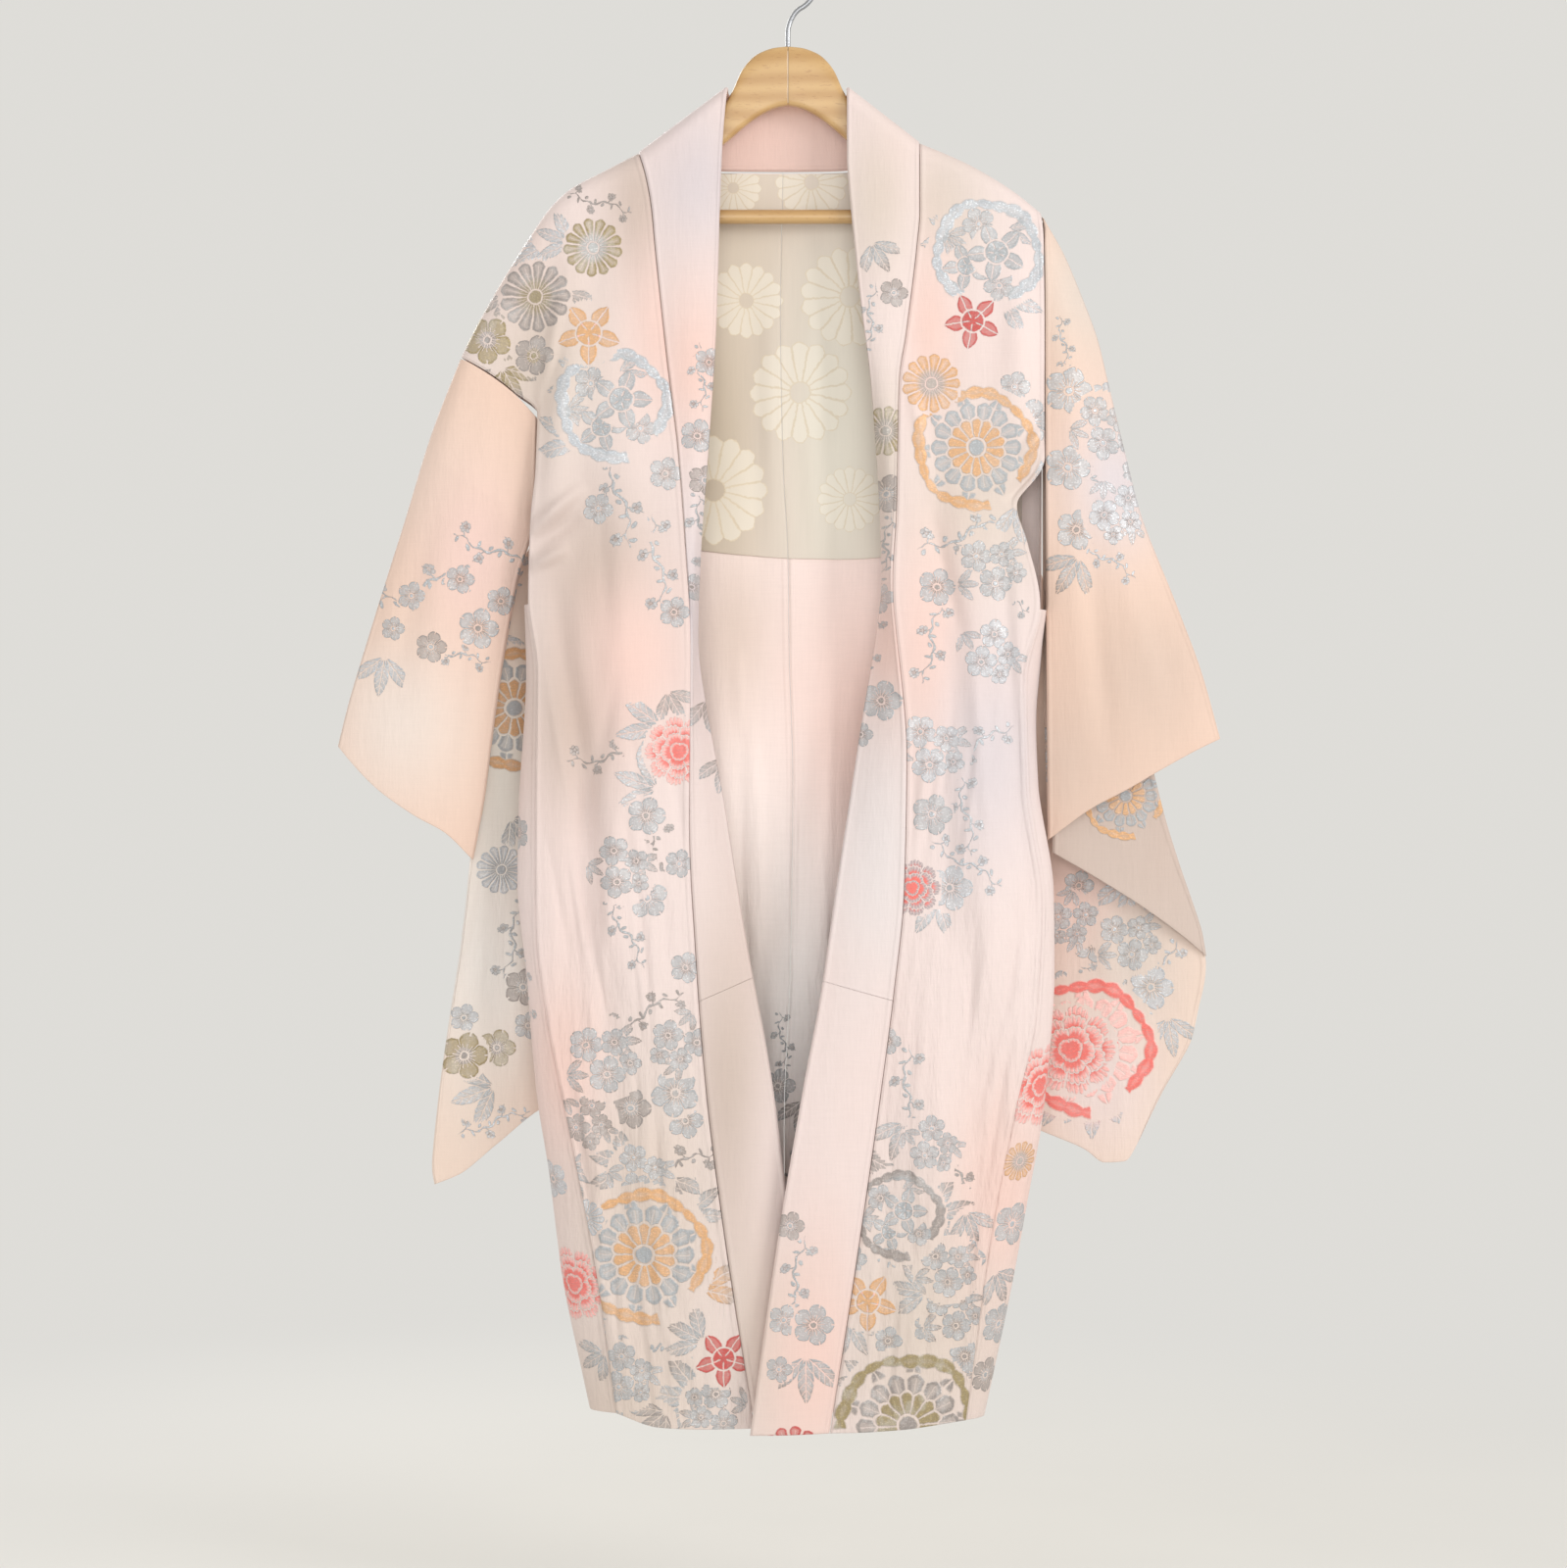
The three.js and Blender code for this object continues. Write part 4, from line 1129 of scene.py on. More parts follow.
@dataclass(frozen=True)
class Silk:
    """Pale crepe silk, as it is or with one kind of figure woven in."""

    roughness: float = 0.60
    sheen: float = 0.12
    slub: float = 0.12               # how much the threads vary in colour
    bump: float = 0.75

    def ground(self, tree: Finish) -> tuple[NodeSocket, Value]:
        """The dyed ground with its painted shade and light, and its height, without figures.

        Dye, with its painted shade and light, times one plus the slub's noise, and a little darker within
        about a millimetre of each seam as painted shade. The height sums the threads, the crepe's upright
        wrinkles where the cloth is crimped, and a ridge along each seam.
        """
        dye = tree.attribute("dye").outputs["Color"]
        cloud = tree.noise((9, 9, 5.4), 3.0)
        warm = tree.mix(tree.smooth(cloud, 0.42, 0.72) * 0.5, dye, tree.tint(dye, (1.0, 0.95, 0.93)))
        threads = tree.noise((900, 900, 40))
        weft = tree.noise((60, 60, 1100))
        shade = (threads + weft) * (self.slub * 0.5) + (1 - self.slub * 0.5)
        seam = Value(tree, tree.attribute("seam").outputs["Fac"])
        # painted shade: a little darker within about a millimetre of each seam
        dark = tree.smooth(seam, 0.2, 1.2) * 0.04 + 0.96
        colour = tree.scaled(warm, shade * dark)
        crepe = Value(tree, tree.attribute("crepe").outputs["Fac"])
        wrinkle = tree.noise((150, 150, 26), 3.0, 0.6)
        broad = tree.noise((36, 36, 9))
        ridge = tree.smooth(seam, 0.6, 2.2) * (1 - tree.smooth(seam, 3.0, 5.5))
        height = (threads * 0.05 + weft * 0.05 + wrinkle * (crepe * 1.7 + 0.14)
                  + broad * (crepe * 1.0 + 0.35) + ridge * 0.40)
        return colour, height

    def material(self, name: str, kind: Kind | None) -> Material:
        """The finish.

        Args:
            name: of the material.
            kind: the figure woven into it, or None.

        Returns:
            The material.
        """
        tree = Finish(name)
        colour, height = self.ground(tree)
        roughness, metal = self.roughness, 0.0
        if kind is not None:
            cover, tone = Weaver(tree, kind).weave()
            thread, accent = tree.attribute("thread"), tree.attribute("accent")
            floats = tree.noise((300, 300, 1300), 2.0, 0.6)
            # painted glints and painted highlight: small bright spots and pale patches on the metallic
            # thread
            glint = tree.smooth(tree.noise((700, 700, 900), 1.0), 0.55, 0.68)
            lit = tree.smooth(tree.noise((55, 55, 40), 3.0, 0.6), 0.46, 0.60)
            shine = Value(tree, thread.outputs["Alpha"])
            woven = tree.mix(tone, thread.outputs["Color"], accent.outputs["Color"])
            # painted highlight turns the thread pale silver in the patches, and painted glints brighten it
            woven = tree.mix(lit * shine * 0.8, woven, (*linear(216, 217, 219), 1))
            woven = tree.scaled(woven, floats * 0.60 + 0.66 + glint * (shine * 1.0 + 0.06))
            worn = cover * (tree.smooth(floats, 0.28, 0.46) * 0.25 + 0.75)
            colour = tree.mix(worn, colour, woven)
            roughness = cover * -0.22 + self.roughness
            metal = cover * shine * (glint * 0.6 + 0.6)
            height = height + cover * 0.30 + cover * floats * 0.20
        return tree.surface(Base_Color=colour, Roughness=roughness, Metallic=metal,
                            Sheen_Weight=self.sheen, Sheen_Roughness=0.45, Specular_IOR_Level=0.35,
                            Normal=tree.bump(height, self.bump, 0.0016))


@dataclass(frozen=True)
class Satin:
    """Cream satin, with tone-on-tone chrysanthemums of sixteen petals."""

    roughness: float = 0.42
    outline: tuple[int, int, int] = (214, 196, 164)

    def material(self, name: str, kind: Kind | None) -> Material:
        """The finish, with paler petals and fine outlines where a figure lies."""
        tree = Finish(name)
        dye = tree.attribute("dye").outputs["Color"]
        threads = tree.noise((700, 700, 30))
        drape = tree.noise((26, 26, 5))
        height = threads * 0.05 + drape * 0.8
        colour = tree.scaled(dye, threads * 0.06 + 0.97)
        roughness: Value | float = self.roughness
        if kind is not None:
            outside = Petals(Weaver(tree, kind).frame(), 16).blunt(0.20, 0.97, 0.93)
            petal, line = outside.within(), (outside.abs() - 0.012).within(0.01)
            paler = tree.attribute("thread").outputs["Color"]
            colour = tree.mix(petal * 0.42, colour, paler)
            colour = tree.mix(line * 0.50, colour, (*linear(*self.outline), 1))
            roughness = petal * 0.14 + self.roughness
            height = height + petal * 0.08
        return tree.surface(Base_Color=colour, Roughness=roughness, Sheen_Weight=0.15,
                            Sheen_Roughness=0.4, Specular_IOR_Level=0.5,
                            Normal=tree.bump(height, 0.45, 0.0016))


@dataclass(frozen=True)
class Beech:
    """Light wood under clear satin lacquer, with its grain along X."""

    pale: tuple[int, int, int] = (200, 164, 112)
    dark: tuple[int, int, int] = (172, 130, 78)

    def material(self, name: str) -> Material:
        """The finish: long growth bands bent by noise, short dark flecks, fine pores."""
        tree = Finish(name)
        bend = tree.noise((5, 30, 16), 3.0)
        bands = (tree.parts(tree.place((1, 1, 1)))[2] * 420.0 + bend * 9.0).sin() * 0.5 + 0.5
        fleck = tree.smooth(tree.noise((160, 900, 900)), 0.58, 0.72)
        pores = tree.noise((90, 1200, 1200))
        colour = tree.mix(bands * 0.55 + bend * 0.25, (*linear(*self.pale), 1), (*linear(*self.dark), 1))
        colour = tree.mix(fleck * 0.35, colour, (*linear(150, 104, 62), 1))
        return tree.surface(Base_Color=colour, Roughness=bands * 0.08 + 0.30, Coat_Weight=0.45,
                            Coat_Roughness=0.12, Normal=tree.bump(pores * 0.4 + bands * 0.1, 0.25, 0.0004))


@dataclass(frozen=True)
class SteelWire:
    """Bright drawn wire with faint lengthwise scratches."""

    def material(self, name: str) -> Material:
        """The finish: grey steel, duller in patches."""
        tree = Finish(name)
        patch = tree.noise((60, 60, 60), 3.0)
        scratch = tree.noise((2200, 2200, 150))
        colour = tree.mix(patch, (*linear(176, 178, 182), 1), (*linear(150, 152, 156), 1))
        return tree.surface(Base_Color=colour, Metallic=1.0, Roughness=patch * 0.18 + 0.22,
                            Normal=tree.bump(scratch, 0.15, 0.0002))


class Wardrobe:
    """The cloth finishes, each made once."""

    def __init__(self) -> None:
        """Starts with no finish made."""
        self.cloths = {"silk": Silk(), "satin_lining": Satin()}
        self.made: dict[str, Material] = {}

    def finish(self, slot: str, kind: Kind | None) -> Material:
        """The material for a slot and a kind of figure, or none, made when first asked for."""
        name = slot if kind is None else f"{slot}_{kind.name.lower()}"
        if name not in self.made:
            self.made[name] = self.cloths[slot].material(name, kind)
        return self.made[name]


# --- seams, folds and hems
# Rows of x, drop and y in millimetres. "Right" is the wearer's right, at -X.

SHOULDER_RIGHT = table(
    (-119, 157, 0), (-146, 171, 0), (-174, 186, 0), (-189, 200, 0), (-204, 221, 0),
    (-220, 246, 0), (-235, 271, 0), (-250, 298, 0), (-261, 320, 0))
SHOULDER_LEFT = table(
    (105, 149, 0), (122, 156, 0), (142, 165, 0), (160, 175, 0), (180, 188, 0), (201, 205, 0))
COLLAR_SEAM_RIGHT = table(
    (-119, 157, -11), (-113, 178, -12), (-109, 200, -13), (-105, 241, -15), (-96, 324, -20),
    (-87, 397, -24), (-81, 474, -28), (-77, 555, -30), (-78, 689, -32), (-73, 796, -32),
    (-65, 901, -31), (-54, 991, -30), (-41, 1080, -28), (-26, 1172, -26))
COLLAR_SEAM_LEFT = table(
    (105, 149, -11), (105, 172, -12), (105, 204, -13), (102, 239, -15), (94, 302, -19),
    (88, 345, -22), (86, 443, -27), (83, 505, -30), (94, 636, -33), (92, 743, -34),
    (84, 824, -35), (74, 901, -36), (58, 1013, -37), (44, 1105, -36), (33, 1174, -35))
COLLAR_FOLD_RIGHT = table(
    (-48, 104, -10), (-50, 124, -11), (-52, 150, -12), (-54, 200, -14), (-57, 300, -18),
    (-63, 390, -20), (-70, 474, -16), (-73, 545, 0), (-50, 682, -7), (-33, 785, -17),
    (-13, 893, -24), (-1, 983, -26), (14, 1075, -25), (28, 1172, -23))
COLLAR_FOLD_LEFT = table(
    (47, 104, -10), (47, 128, -11), (47, 160, -12), (50, 202, -14), (58, 279, -17),
    (66, 340, -19), (74, 443, -10), (76, 497, -2), (56, 630, -14), (38, 745, -24),
    (26, 826, -30), (12, 901, -35), (-7, 1013, -40), (-20, 1102, -41), (-30, 1175, -40))
FRONT_SIDE_RIGHT = table(
    (-261, 320, -11), (-236, 335, -11), (-218, 349, -12), (-199, 368, -16), (-200, 412, -24),
    (-204, 452, -27), (-206, 515, -27), (-199, 577, -28), (-200, 693, -30), (-199, 780, -30),
    (-192, 840, -30), (-168, 961, -30), (-152, 1047, -28), (-136, 1160, -26))
FRONT_SIDE_LEFT = table(
    (202, 205, -11), (204, 230, -12), (204.4, 300, -16), (204.4, 400, -20), (182, 440, -22),
    (190, 470, -26), (200, 520, -28), (187, 580, -30), (189, 665, -30), (201, 755, -30),
    (197, 840, -31), (180, 920, -31), (162, 1012, -30), (141, 1165, -28))
BACK_SIDE_RIGHT = table(
    (-261, 320, 11), (-236, 335, 11), (-218, 349, 11), (-199, 368, 12), (-198, 412, 13),
    (-200, 452, 13), (-201, 515, 13), (-196, 577, 13), (-200, 693, 13), (-194, 812, 13),
    (-172, 961, 13), (-158, 1047, 13), (-145, 1160, 13))
BACK_SIDE_LEFT = table(
    (202, 205, 11), (204, 230, 12), (204.4, 300, 13), (204.4, 400, 14), (204.3, 450, 14),
    (204, 520, 14), (197, 600, 14), (194, 700, 14), (199, 800, 14), (190, 900, 14),
    (166, 1012, 14), (146, 1165, 14))
CENTRE_BACK = table(
    (-4, 169, 20), (-6, 284, 23), (-4, 399, 25), (0, 476, 26), (1, 555, 26), (4, 662, 27),
    (2, 810, 27), (-3, 942, 27), (-1, 1168, 26))
NECK_RIGHT = table(
    (-4, 169, 20), (-30, 169, 19), (-62, 169, 17), (-92, 168, 14), (-110, 166, 11.5), (-117, 162, 8))
NECK_LEFT = table(
    (-4, 169, 20), (28, 169, 19), (56, 168, 17), (84, 164, 14), (98, 159, 11.5), (104, 154, 8))
HEM_FRONT_RIGHT = table((-26, 1172, -26), (-60, 1172, -30), (-101, 1170, -33), (-136, 1160, -26))
HEM_FRONT_LEFT = table((33, 1174, -35), (60, 1173, -37), (90, 1171, -37), (141, 1165, -28))
HEM_BACK_RIGHT = table((-1, 1168, 26), (-50, 1170, 30), (-100, 1168, 24), (-145, 1160, 13))
HEM_BACK_LEFT = table((-1, 1168, 26), (50, 1170, 30), (100, 1168, 26), (146, 1165, 14))
GUSSET_FOLD_RIGHT = table(
    (-209, 518, 0), (-208, 577, 0), (-214, 680, 0), (-215, 740, 0), (-208, 812, 0), (-200, 907, 0),
    (-190, 971, 0), (-179, 1058, 0), (-165, 1125, 0), (-157, 1161, 0))
GUSSET_FOLD_LEFT = table(
    (206, 522, 0), (201, 560, 0), (197, 610, 0), (199, 661, 0), (211, 744, 0), (212, 810, 0),
    (204, 915, 0), (191, 991, 0), (177, 1066, 0), (156, 1163, 0))
COLLAR_BACK_SEAM = table(
    (-119, 157, 0), (-117, 159, 9), (-110, 163, 12), (-92, 166, 14), (-62, 168, 17),
    (-30, 168, 19), (0, 168, 20), (28, 168, 19), (56, 167, 17), (84, 162, 14),
    (98, 156, 12), (104, 151, 9), (105, 149, 0))
COLLAR_BACK_FOLD = table(
    (-48, 104, 0), (-48, 105, 9), (-46, 108, 12), (-40, 110, 14), (-30, 111, 15),
    (-15, 112, 16), (0, 112, 16), (15, 112, 16), (30, 111, 15), (40, 110, 14),
    (46, 108, 12), (48, 105, 9), (47, 104, 0))

# sleeves: x, drop and y of their folds, openings and seams
SLEEVE_RIGHT_OUTER = table(
    (-261.5, 320.8, 0), (-285, 381, 1), (-307, 452, 2), (-331, 528, 2), (-352, 598, 1), (-360, 631, 0))
SLEEVE_RIGHT_CUFF = table(
    (-252, 722, 0), (-274, 700, 0), (-297, 687, 0), (-328, 665, 0), (-348, 645, 0), (-360, 631, 0))
SLEEVE_RIGHT_SEAM_FRONT = table(
    (-199.8, 369.2, -12), (-218.2, 349.6, -11), (-236.2, 335.6, -10), (-250.8, 326.4, -9),
    (-258, 322.4, -5.5), (-261.5, 320.6, 0))
SLEEVE_RIGHT_SEAM_BACK = table(
    (-199.8, 369.2, 11), (-218.2, 349.6, 10), (-236.2, 335.6, 10), (-250.8, 326.4, 9),
    (-258, 322.4, 5.5), (-261.5, 320.6, 0))
SLEEVE_RIGHT_FOLD_FRONT = table(
    (-199.8, 369.2, -12), (-200.2, 412, -13), (-202, 452, -10), (-216, 500, -5), (-230, 577, 0),
    (-244, 680, 0), (-252, 722, 0))
SLEEVE_RIGHT_FOLD_BACK = table(
    (-199.8, 369.2, 11), (-201, 412, 9), (-206, 452, 3), (-216, 500, 0), (-230, 577, 0),
    (-244, 680, 0), (-252, 722, 0))
BAG_RIGHT = (
    table((-192, 462, 24), (-205, 467, 20), (-216, 488, 14), (-228, 538, 8), (-243, 630, 6.5),
          (-254, 722, 5.4)),
    table((-138, 905, 34), (-168, 909, 32), (-200, 924, 28), (-235, 952, 25), (-265, 976, 22),
          (-285, 984, 20)),
    table((-192, 462, 24), (-181, 600, 33), (-158, 760, 36), (-138, 905, 34)),
    table((-254, 722, 5.4), (-262, 788, 9), (-272, 848, 15), (-281, 907, 20), (-287, 968, 20),
          (-285, 984, 20)))
SLEEVE_LEFT_TOP = table((205, 213, 0), (205, 210, 0), (203, 207, 0))
SLEEVE_LEFT_OUTER = table(
    (203, 207, 0), (220, 236, 0), (235, 271, 0), (248, 306, 1), (257, 343, 1), (271, 400, 2),
    (282, 443, 2), (311, 517, 2), (331, 571, 1), (346, 625, 0))
SLEEVE_LEFT_CUFF = table(
    (208, 706, 0), (242, 681, 0), (270, 666, 0), (294, 652, 0), (327, 634, 0), (346, 625, 0))
SLEEVE_LEFT_SEAM_FRONT = table(
    (204.4, 213, 0), (204.6, 230, -11), (204.8, 300, -15), (204.8, 400, -19), (206, 540, -9), (208, 706, 0))
SLEEVE_LEFT_SEAM_BACK = table(
    (204.4, 213, 0), (204.6, 230, 9), (204.8, 300, 12), (204.8, 400, 12), (204.8, 540, 8), (208, 706, 0))
CORNER_LEFT = (
    table((212, 700, 3.8), (250, 674, 8.2), (293, 648, 7.8)),
    table((212, 716, 6), (240, 732, 7), (285, 760, 8), (318, 784, 11), (337, 800, 14.6)),
    table((212, 700, 3.8), (212, 708, 5), (212, 716, 6)),
    table((293, 648, 7.8), (304, 690, 10.5), (314, 722, 12), (334, 782, 14.4), (337, 800, 14.6)))
BAG_LEFT = (
    table((192, 470, 26), (204, 490, 22), (217, 560, 18), (252, 650, 15), (290, 654, 13.5)),
    table((146, 907, 36), (172, 926, 34), (203, 941, 32), (239, 956, 29), (256, 967, 27),
          (272, 966, 26), (284, 948, 25)),
    table((192, 470, 26), (181, 620, 35), (160, 780, 38), (146, 907, 36)),
    table((290, 654, 13.5), (312, 730, 16.5), (337, 806, 18), (331, 843, 20), (326, 866, 21),
          (303, 909, 24), (284, 948, 25)))

# --- woven figures
# Rows of kind, thread and accent, then x, drop, radius in millimetres and turn in degrees.

FRONT_RIGHT_MOTIFS = motifs(
    (CHRYSANTHEMUM, OLIVE, FROST, (-155, 234, 24, 10)),
    (CHRYSANTHEMUM, TAUPE, OLIVE, (-201, 273, 29)),
    (CHRYSANTHEMUM, FROST, SILVER, (-161, 1005, 16)),
    (MANDARIN, APRICOT, ROSE, (-158, 303, 26, 90)),
    (MANDARIN, BRICK, ROSE, (-51, 1116, 23, 90)),
    (PEONY, CORAL, ROSE, (-86, 635, 28, 20)),
    (RINGED, APRICOT, SILVER, (-115, 1034, 56)),
    (MEDALLION, SILVER, FROST, (-138, 361, 48)),
    (CLUSTER, SILVER, TAUPE, (-131, 728, 28, 30), (-145, 878, 33), (-87, 866, 27, 140),
     (-59, 1154, 27, 200)),
    (CLUSTER, TAUPE, SILVER, (-159, 928, 25, 70)),
    (CLUSTER, SILVER, FROST, (-116, 970, 27, 30), (-159, 1087, 22, 100), (-128, 1129, 28, 40)),
    (PLUM, OLIVE, TAUPE, (-239, 307, 20, 20)),
    (PLUM, TAUPE, OLIVE, (-202, 320, 17)),
    (PLUM, SILVER, TAUPE, (-97, 415, 14), (-90, 525, 13), (-112, 686, 16), (-81, 806, 13),
     (-89, 905, 20, 25), (-81, 927, 15)),
    (PLUM, SILVER, FROST, (-150, 443, 13, 10), (-111, 751, 17, 50), (-86, 724, 12)),
    (PLUM, TAUPE, SILVER, (-124, 917, 17)),
    (SPRAY, OLIVE, TAUPE, (-220, 343, 20, 60), (-229, 338, 19, 200)),
    (SPRAY, FROST, SILVER, (-186, 225, 17, 200), (-206, 239, 19, 150), (-170, 346, 23, 170),
     (-179, 381, 23, 210)),
    (SPRAY, TAUPE, OLIVE, (-228, 285, 19, 110)),
    (SPRAY, TAUPE, SILVER, (-171, 281, 16, 60), (-89, 599, 16, 60), (-89, 985, 19, 70),
     (-108, 1167, 20, 140)),
    (SPRAY, SILVER, FROST, (-116, 619, 22, 170), (-66, 661, 16, 20), (-119, 659, 21, 200),
     (-175, 1051, 17, 120)),
    (SPRAY, SILVER, TAUPE, (-140, 958, 23, 200), (-162, 970, 19, 20), (-81, 1094, 20, 210),
     (-175, 946, 20, 160), (-67, 991, 19, -40), (-89, 1145, 27, 190), (-144, 1157, 19, 160)),
    (SPRAY, APRICOT, SILVER, (-54, 1051, 23, -30)),
    (TWIG, TAUPE, SILVER, (-150, 198, 27, 15), (-142, 640, 33, 172), (-106, 716, 31, 100),
     (-112, 841, 33, -30), (-89, 962, 36, 160)),
    (TWIG, SILVER, TAUPE, (-133, 434, 41, 75), (-103, 486, 39, 80), (-128, 778, 31, 60),
     (-103, 1106, 36, -10)))
FRONT_LEFT_MOTIFS = motifs(
    (CHRYSANTHEMUM, APRICOT, SILVER, (114, 343, 24)),
    (MANDARIN, BRICK, SILVER, (147, 293, 23, 100)),
    (MANDARIN, APRICOT, ROSE, (63, 1069, 24, 90)),
    (PEONY, CORAL, SILVER, (98, 743, 23)),
    (RINGED, APRICOT, SILVER, (148, 395, 51)),
    (RINGED, OLIVE, TAUPE, (94, 1165, 58, 100)),
    (MEDALLION, SILVER, FROST, (159, 239, 47, 30)),
    (MEDALLION, SILVER, TAUPE, (87, 1001, 37)),
    (CLUSTER, SILVER, FROST, (162, 491, 30), (114, 946, 25, 50)),
    (CLUSTER, FROST, SILVER, (161, 558, 28, 60), (114, 634, 31, 20)),
    (CLUSTER, SILVER, TAUPE, (126, 1044, 27, 10), (131, 1079, 27)),
    (PLUM, SILVER, FROST, (192, 373, 19), (180, 346, 13), (114, 685, 17)),
    (PLUM, FROST, SILVER, (193, 420, 19), (128, 743, 19)),
    (PLUM, SILVER, TAUPE, (118, 505, 16), (79, 864, 11), (51, 1036, 12), (141, 1036, 16),
     (110, 1090, 12), (79, 1100, 12), (140, 1114, 14)),
    (SPRAY, FROST, SILVER, (123, 229, 20, 170), (184, 455, 19, 80), (110, 763, 20, 120)),
    (SPRAY, SILVER, FROST, (186, 279, 20, 20)),
    (SPRAY, SILVER, TAUPE, (87, 942, 19, 110), (94, 1059, 19, 190), (145, 1012, 17, 70), (55, 1098, 17, 60),
     (128, 998, 23, -15), (133, 1141, 27, -60), (51, 1133, 17, 180)),
    (SPRAY, TAUPE, SILVER, (75, 962, 19, 30)),
    (TWIG, SILVER, FROST, (141, 463, 41, -20), (172, 513, 23, 30)),
    (TWIG, SILVER, TAUPE, (114, 548, 34, 100), (94, 903, 36, 90), (98, 1044, 30, 20)),
    (TWIG, FROST, SILVER, (149, 630, 33, 150), (141, 685, 33, 80), (141, 724, 33, 30)),
    (TWIG, TAUPE, SILVER, (133, 966, 31, 70)))
SLEEVE_RIGHT_MOTIFS = motifs(
    (PLUM, SILVER, TAUPE, (-247, 537, 17), (-261, 498, 12), (-229, 515, 12)),
    (PLUM, TAUPE, SILVER, (-284, 552, 13)),
    (PLUM, SILVER, FROST, (-300, 511, 12), (-315, 537, 10)),
    (SPRAY, FROST, SILVER, (-324, 574, 19, 100)),
    (TWIG, SILVER, FROST, (-290, 504, 42, 160)),
    (TWIG, SILVER, TAUPE, (-233, 476, 36, 200), (-264, 558, 27, 190)))
SLEEVE_LEFT_MOTIFS = motifs(
    (CLUSTER, SILVER, FROST, (253, 378, 30, 20)),
    (CLUSTER, FROST, SILVER, (262, 445, 28, 90)),
    (PLUM, SILVER, FROST, (223, 349, 20), (222, 410, 19), (278, 412, 13)),
    (PLUM, SILVER, TAUPE, (229, 459, 17)),
    (PLUM, FROST, SILVER, (253, 353, 14)),
    (SPRAY, SILVER, TAUPE, (223, 494, 20, 120)),
    (TWIG, SILVER, TAUPE, (245, 420, 31, 60)),
    (TWIG, FROST, SILVER, (254, 482, 27, 30)),
    (TWIG, SILVER, FROST, (219, 310, 22, 80)))
CORNER_LEFT_MOTIFS = motifs(
    (RINGED, APRICOT, SILVER, (270, 671, 36)))
BAG_RIGHT_MOTIFS = motifs(
    (CHRYSANTHEMUM, FROST, SILVER, (-231, 730, 20)),
    (RINGED, APRICOT, SILVER, (-222, 601, 51)),
    (PLUM, TAUPE, SILVER, (-214, 825, 16)),
    (PLUM, OLIVE, TAUPE, (-261, 880, 20), (-235, 874, 16)),
    (PLUM, SILVER, TAUPE, (-210, 856, 12)),
    (PLUM, FROST, SILVER, (-261, 849, 12)),
    (SPRAY, FROST, SILVER, (-233, 556, 22, 80)),
    (SPRAY, SILVER, FROST, (-214, 700, 19, 50), (-253, 911, 22, 160)),
    (TWIG, SILVER, TAUPE, (-222, 786, 34, 100)),
    (TWIG, FROST, SILVER, (-237, 934, 30, -20), (-222, 474, 31, 80)))
BAG_LEFT_MOTIFS = motifs(
    (PEONY, CORAL, ROSE, (229, 876, 37)),
    (RINGED, CORAL, ROSE, (240, 874, 58, 10)),
    (RINGED, APRICOT, SILVER, (270, 677, 41)),
    (CLUSTER, SILVER, FROST, (276, 788, 28), (228, 772, 25, 120)),
    (PLUM, SILVER, TAUPE, (246, 790, 16), (235, 743, 13), (219, 825, 14)),
    (PLUM, FROST, SILVER, (293, 825, 19)),
    (SPRAY, ROSE, FROST, (246, 927, 23, 90)),
    (SPRAY, ROSE, SILVER, (215, 923, 19, 120)),
    (SPRAY, FROST, SILVER, (274, 755, 23, 100), (305, 724, 23, 100), (309, 864, 19, 80)),
    (TWIG, FROST, SILVER, (301, 817, 34, 110)),
    (TWIG, SILVER, FROST, (262, 825, 31, 30)))
COLLAR_RIGHT_MOTIFS = motifs(
    (PLUM, SILVER, TAUPE, (-72, 385, 14), (-77, 505, 11), (-63, 326, 12)),
    (PLUM, TAUPE, SILVER, (-67, 420, 13)),
    (SPRAY, TAUPE, SILVER, (-64, 607, 17, 80), (-54, 654, 17, 100)),
    (TWIG, SILVER, TAUPE, (-69, 338, 27, 85), (-69, 459, 31, 80)))
COLLAR_LEFT_MOTIFS = motifs(
    (CHRYSANTHEMUM, OLIVE, TAUPE, (78, 381, 20)),
    (CHRYSANTHEMUM, BRICK, BRICK, (3, 1193, 27)),
    (PLUM, TAUPE, SILVER, (84, 271, 12), (79, 431, 16), (2, 1009, 12)),
    (PLUM, SILVER, TAUPE, (73, 513, 13), (75, 595, 17), (59, 622, 10), (20, 1087, 17)),
    (PLUM, SILVER, FROST, (-3, 1083, 13), (-7, 1122, 11)),
    (SPRAY, SILVER, TAUPE, (73, 242, 16, 60), (14, 1129, 22, 90)),
    (TWIG, SILVER, TAUPE, (66, 291, 28, 95), (79, 474, 27, 95), (67, 552, 27, 100)),
    (TWIG, SILVER, FROST, (6, 1051, 34, 100)))
LINING_MOTIFS = motifs(
    (CHRYSANTHEMUM, CREAM, CREAM, (19, 176, 30), (50, 268, 41, 8), (10, 345, 42), (-60, 424, 45),
     (-44, 181, 23), (-34, 271, 31), (50, 431, 27)))
INSIDE_MOTIFS = motifs(
    (PLUM, SILVER, TAUPE, (-8, 905, 15), (14, 958, 13, 20)),
    (SPRAY, TAUPE, SILVER, (10, 930, 17, 100)),
    (TWIG, SILVER, TAUPE, (-4, 868, 24, 80), (-2, 1000, 26, 95)))
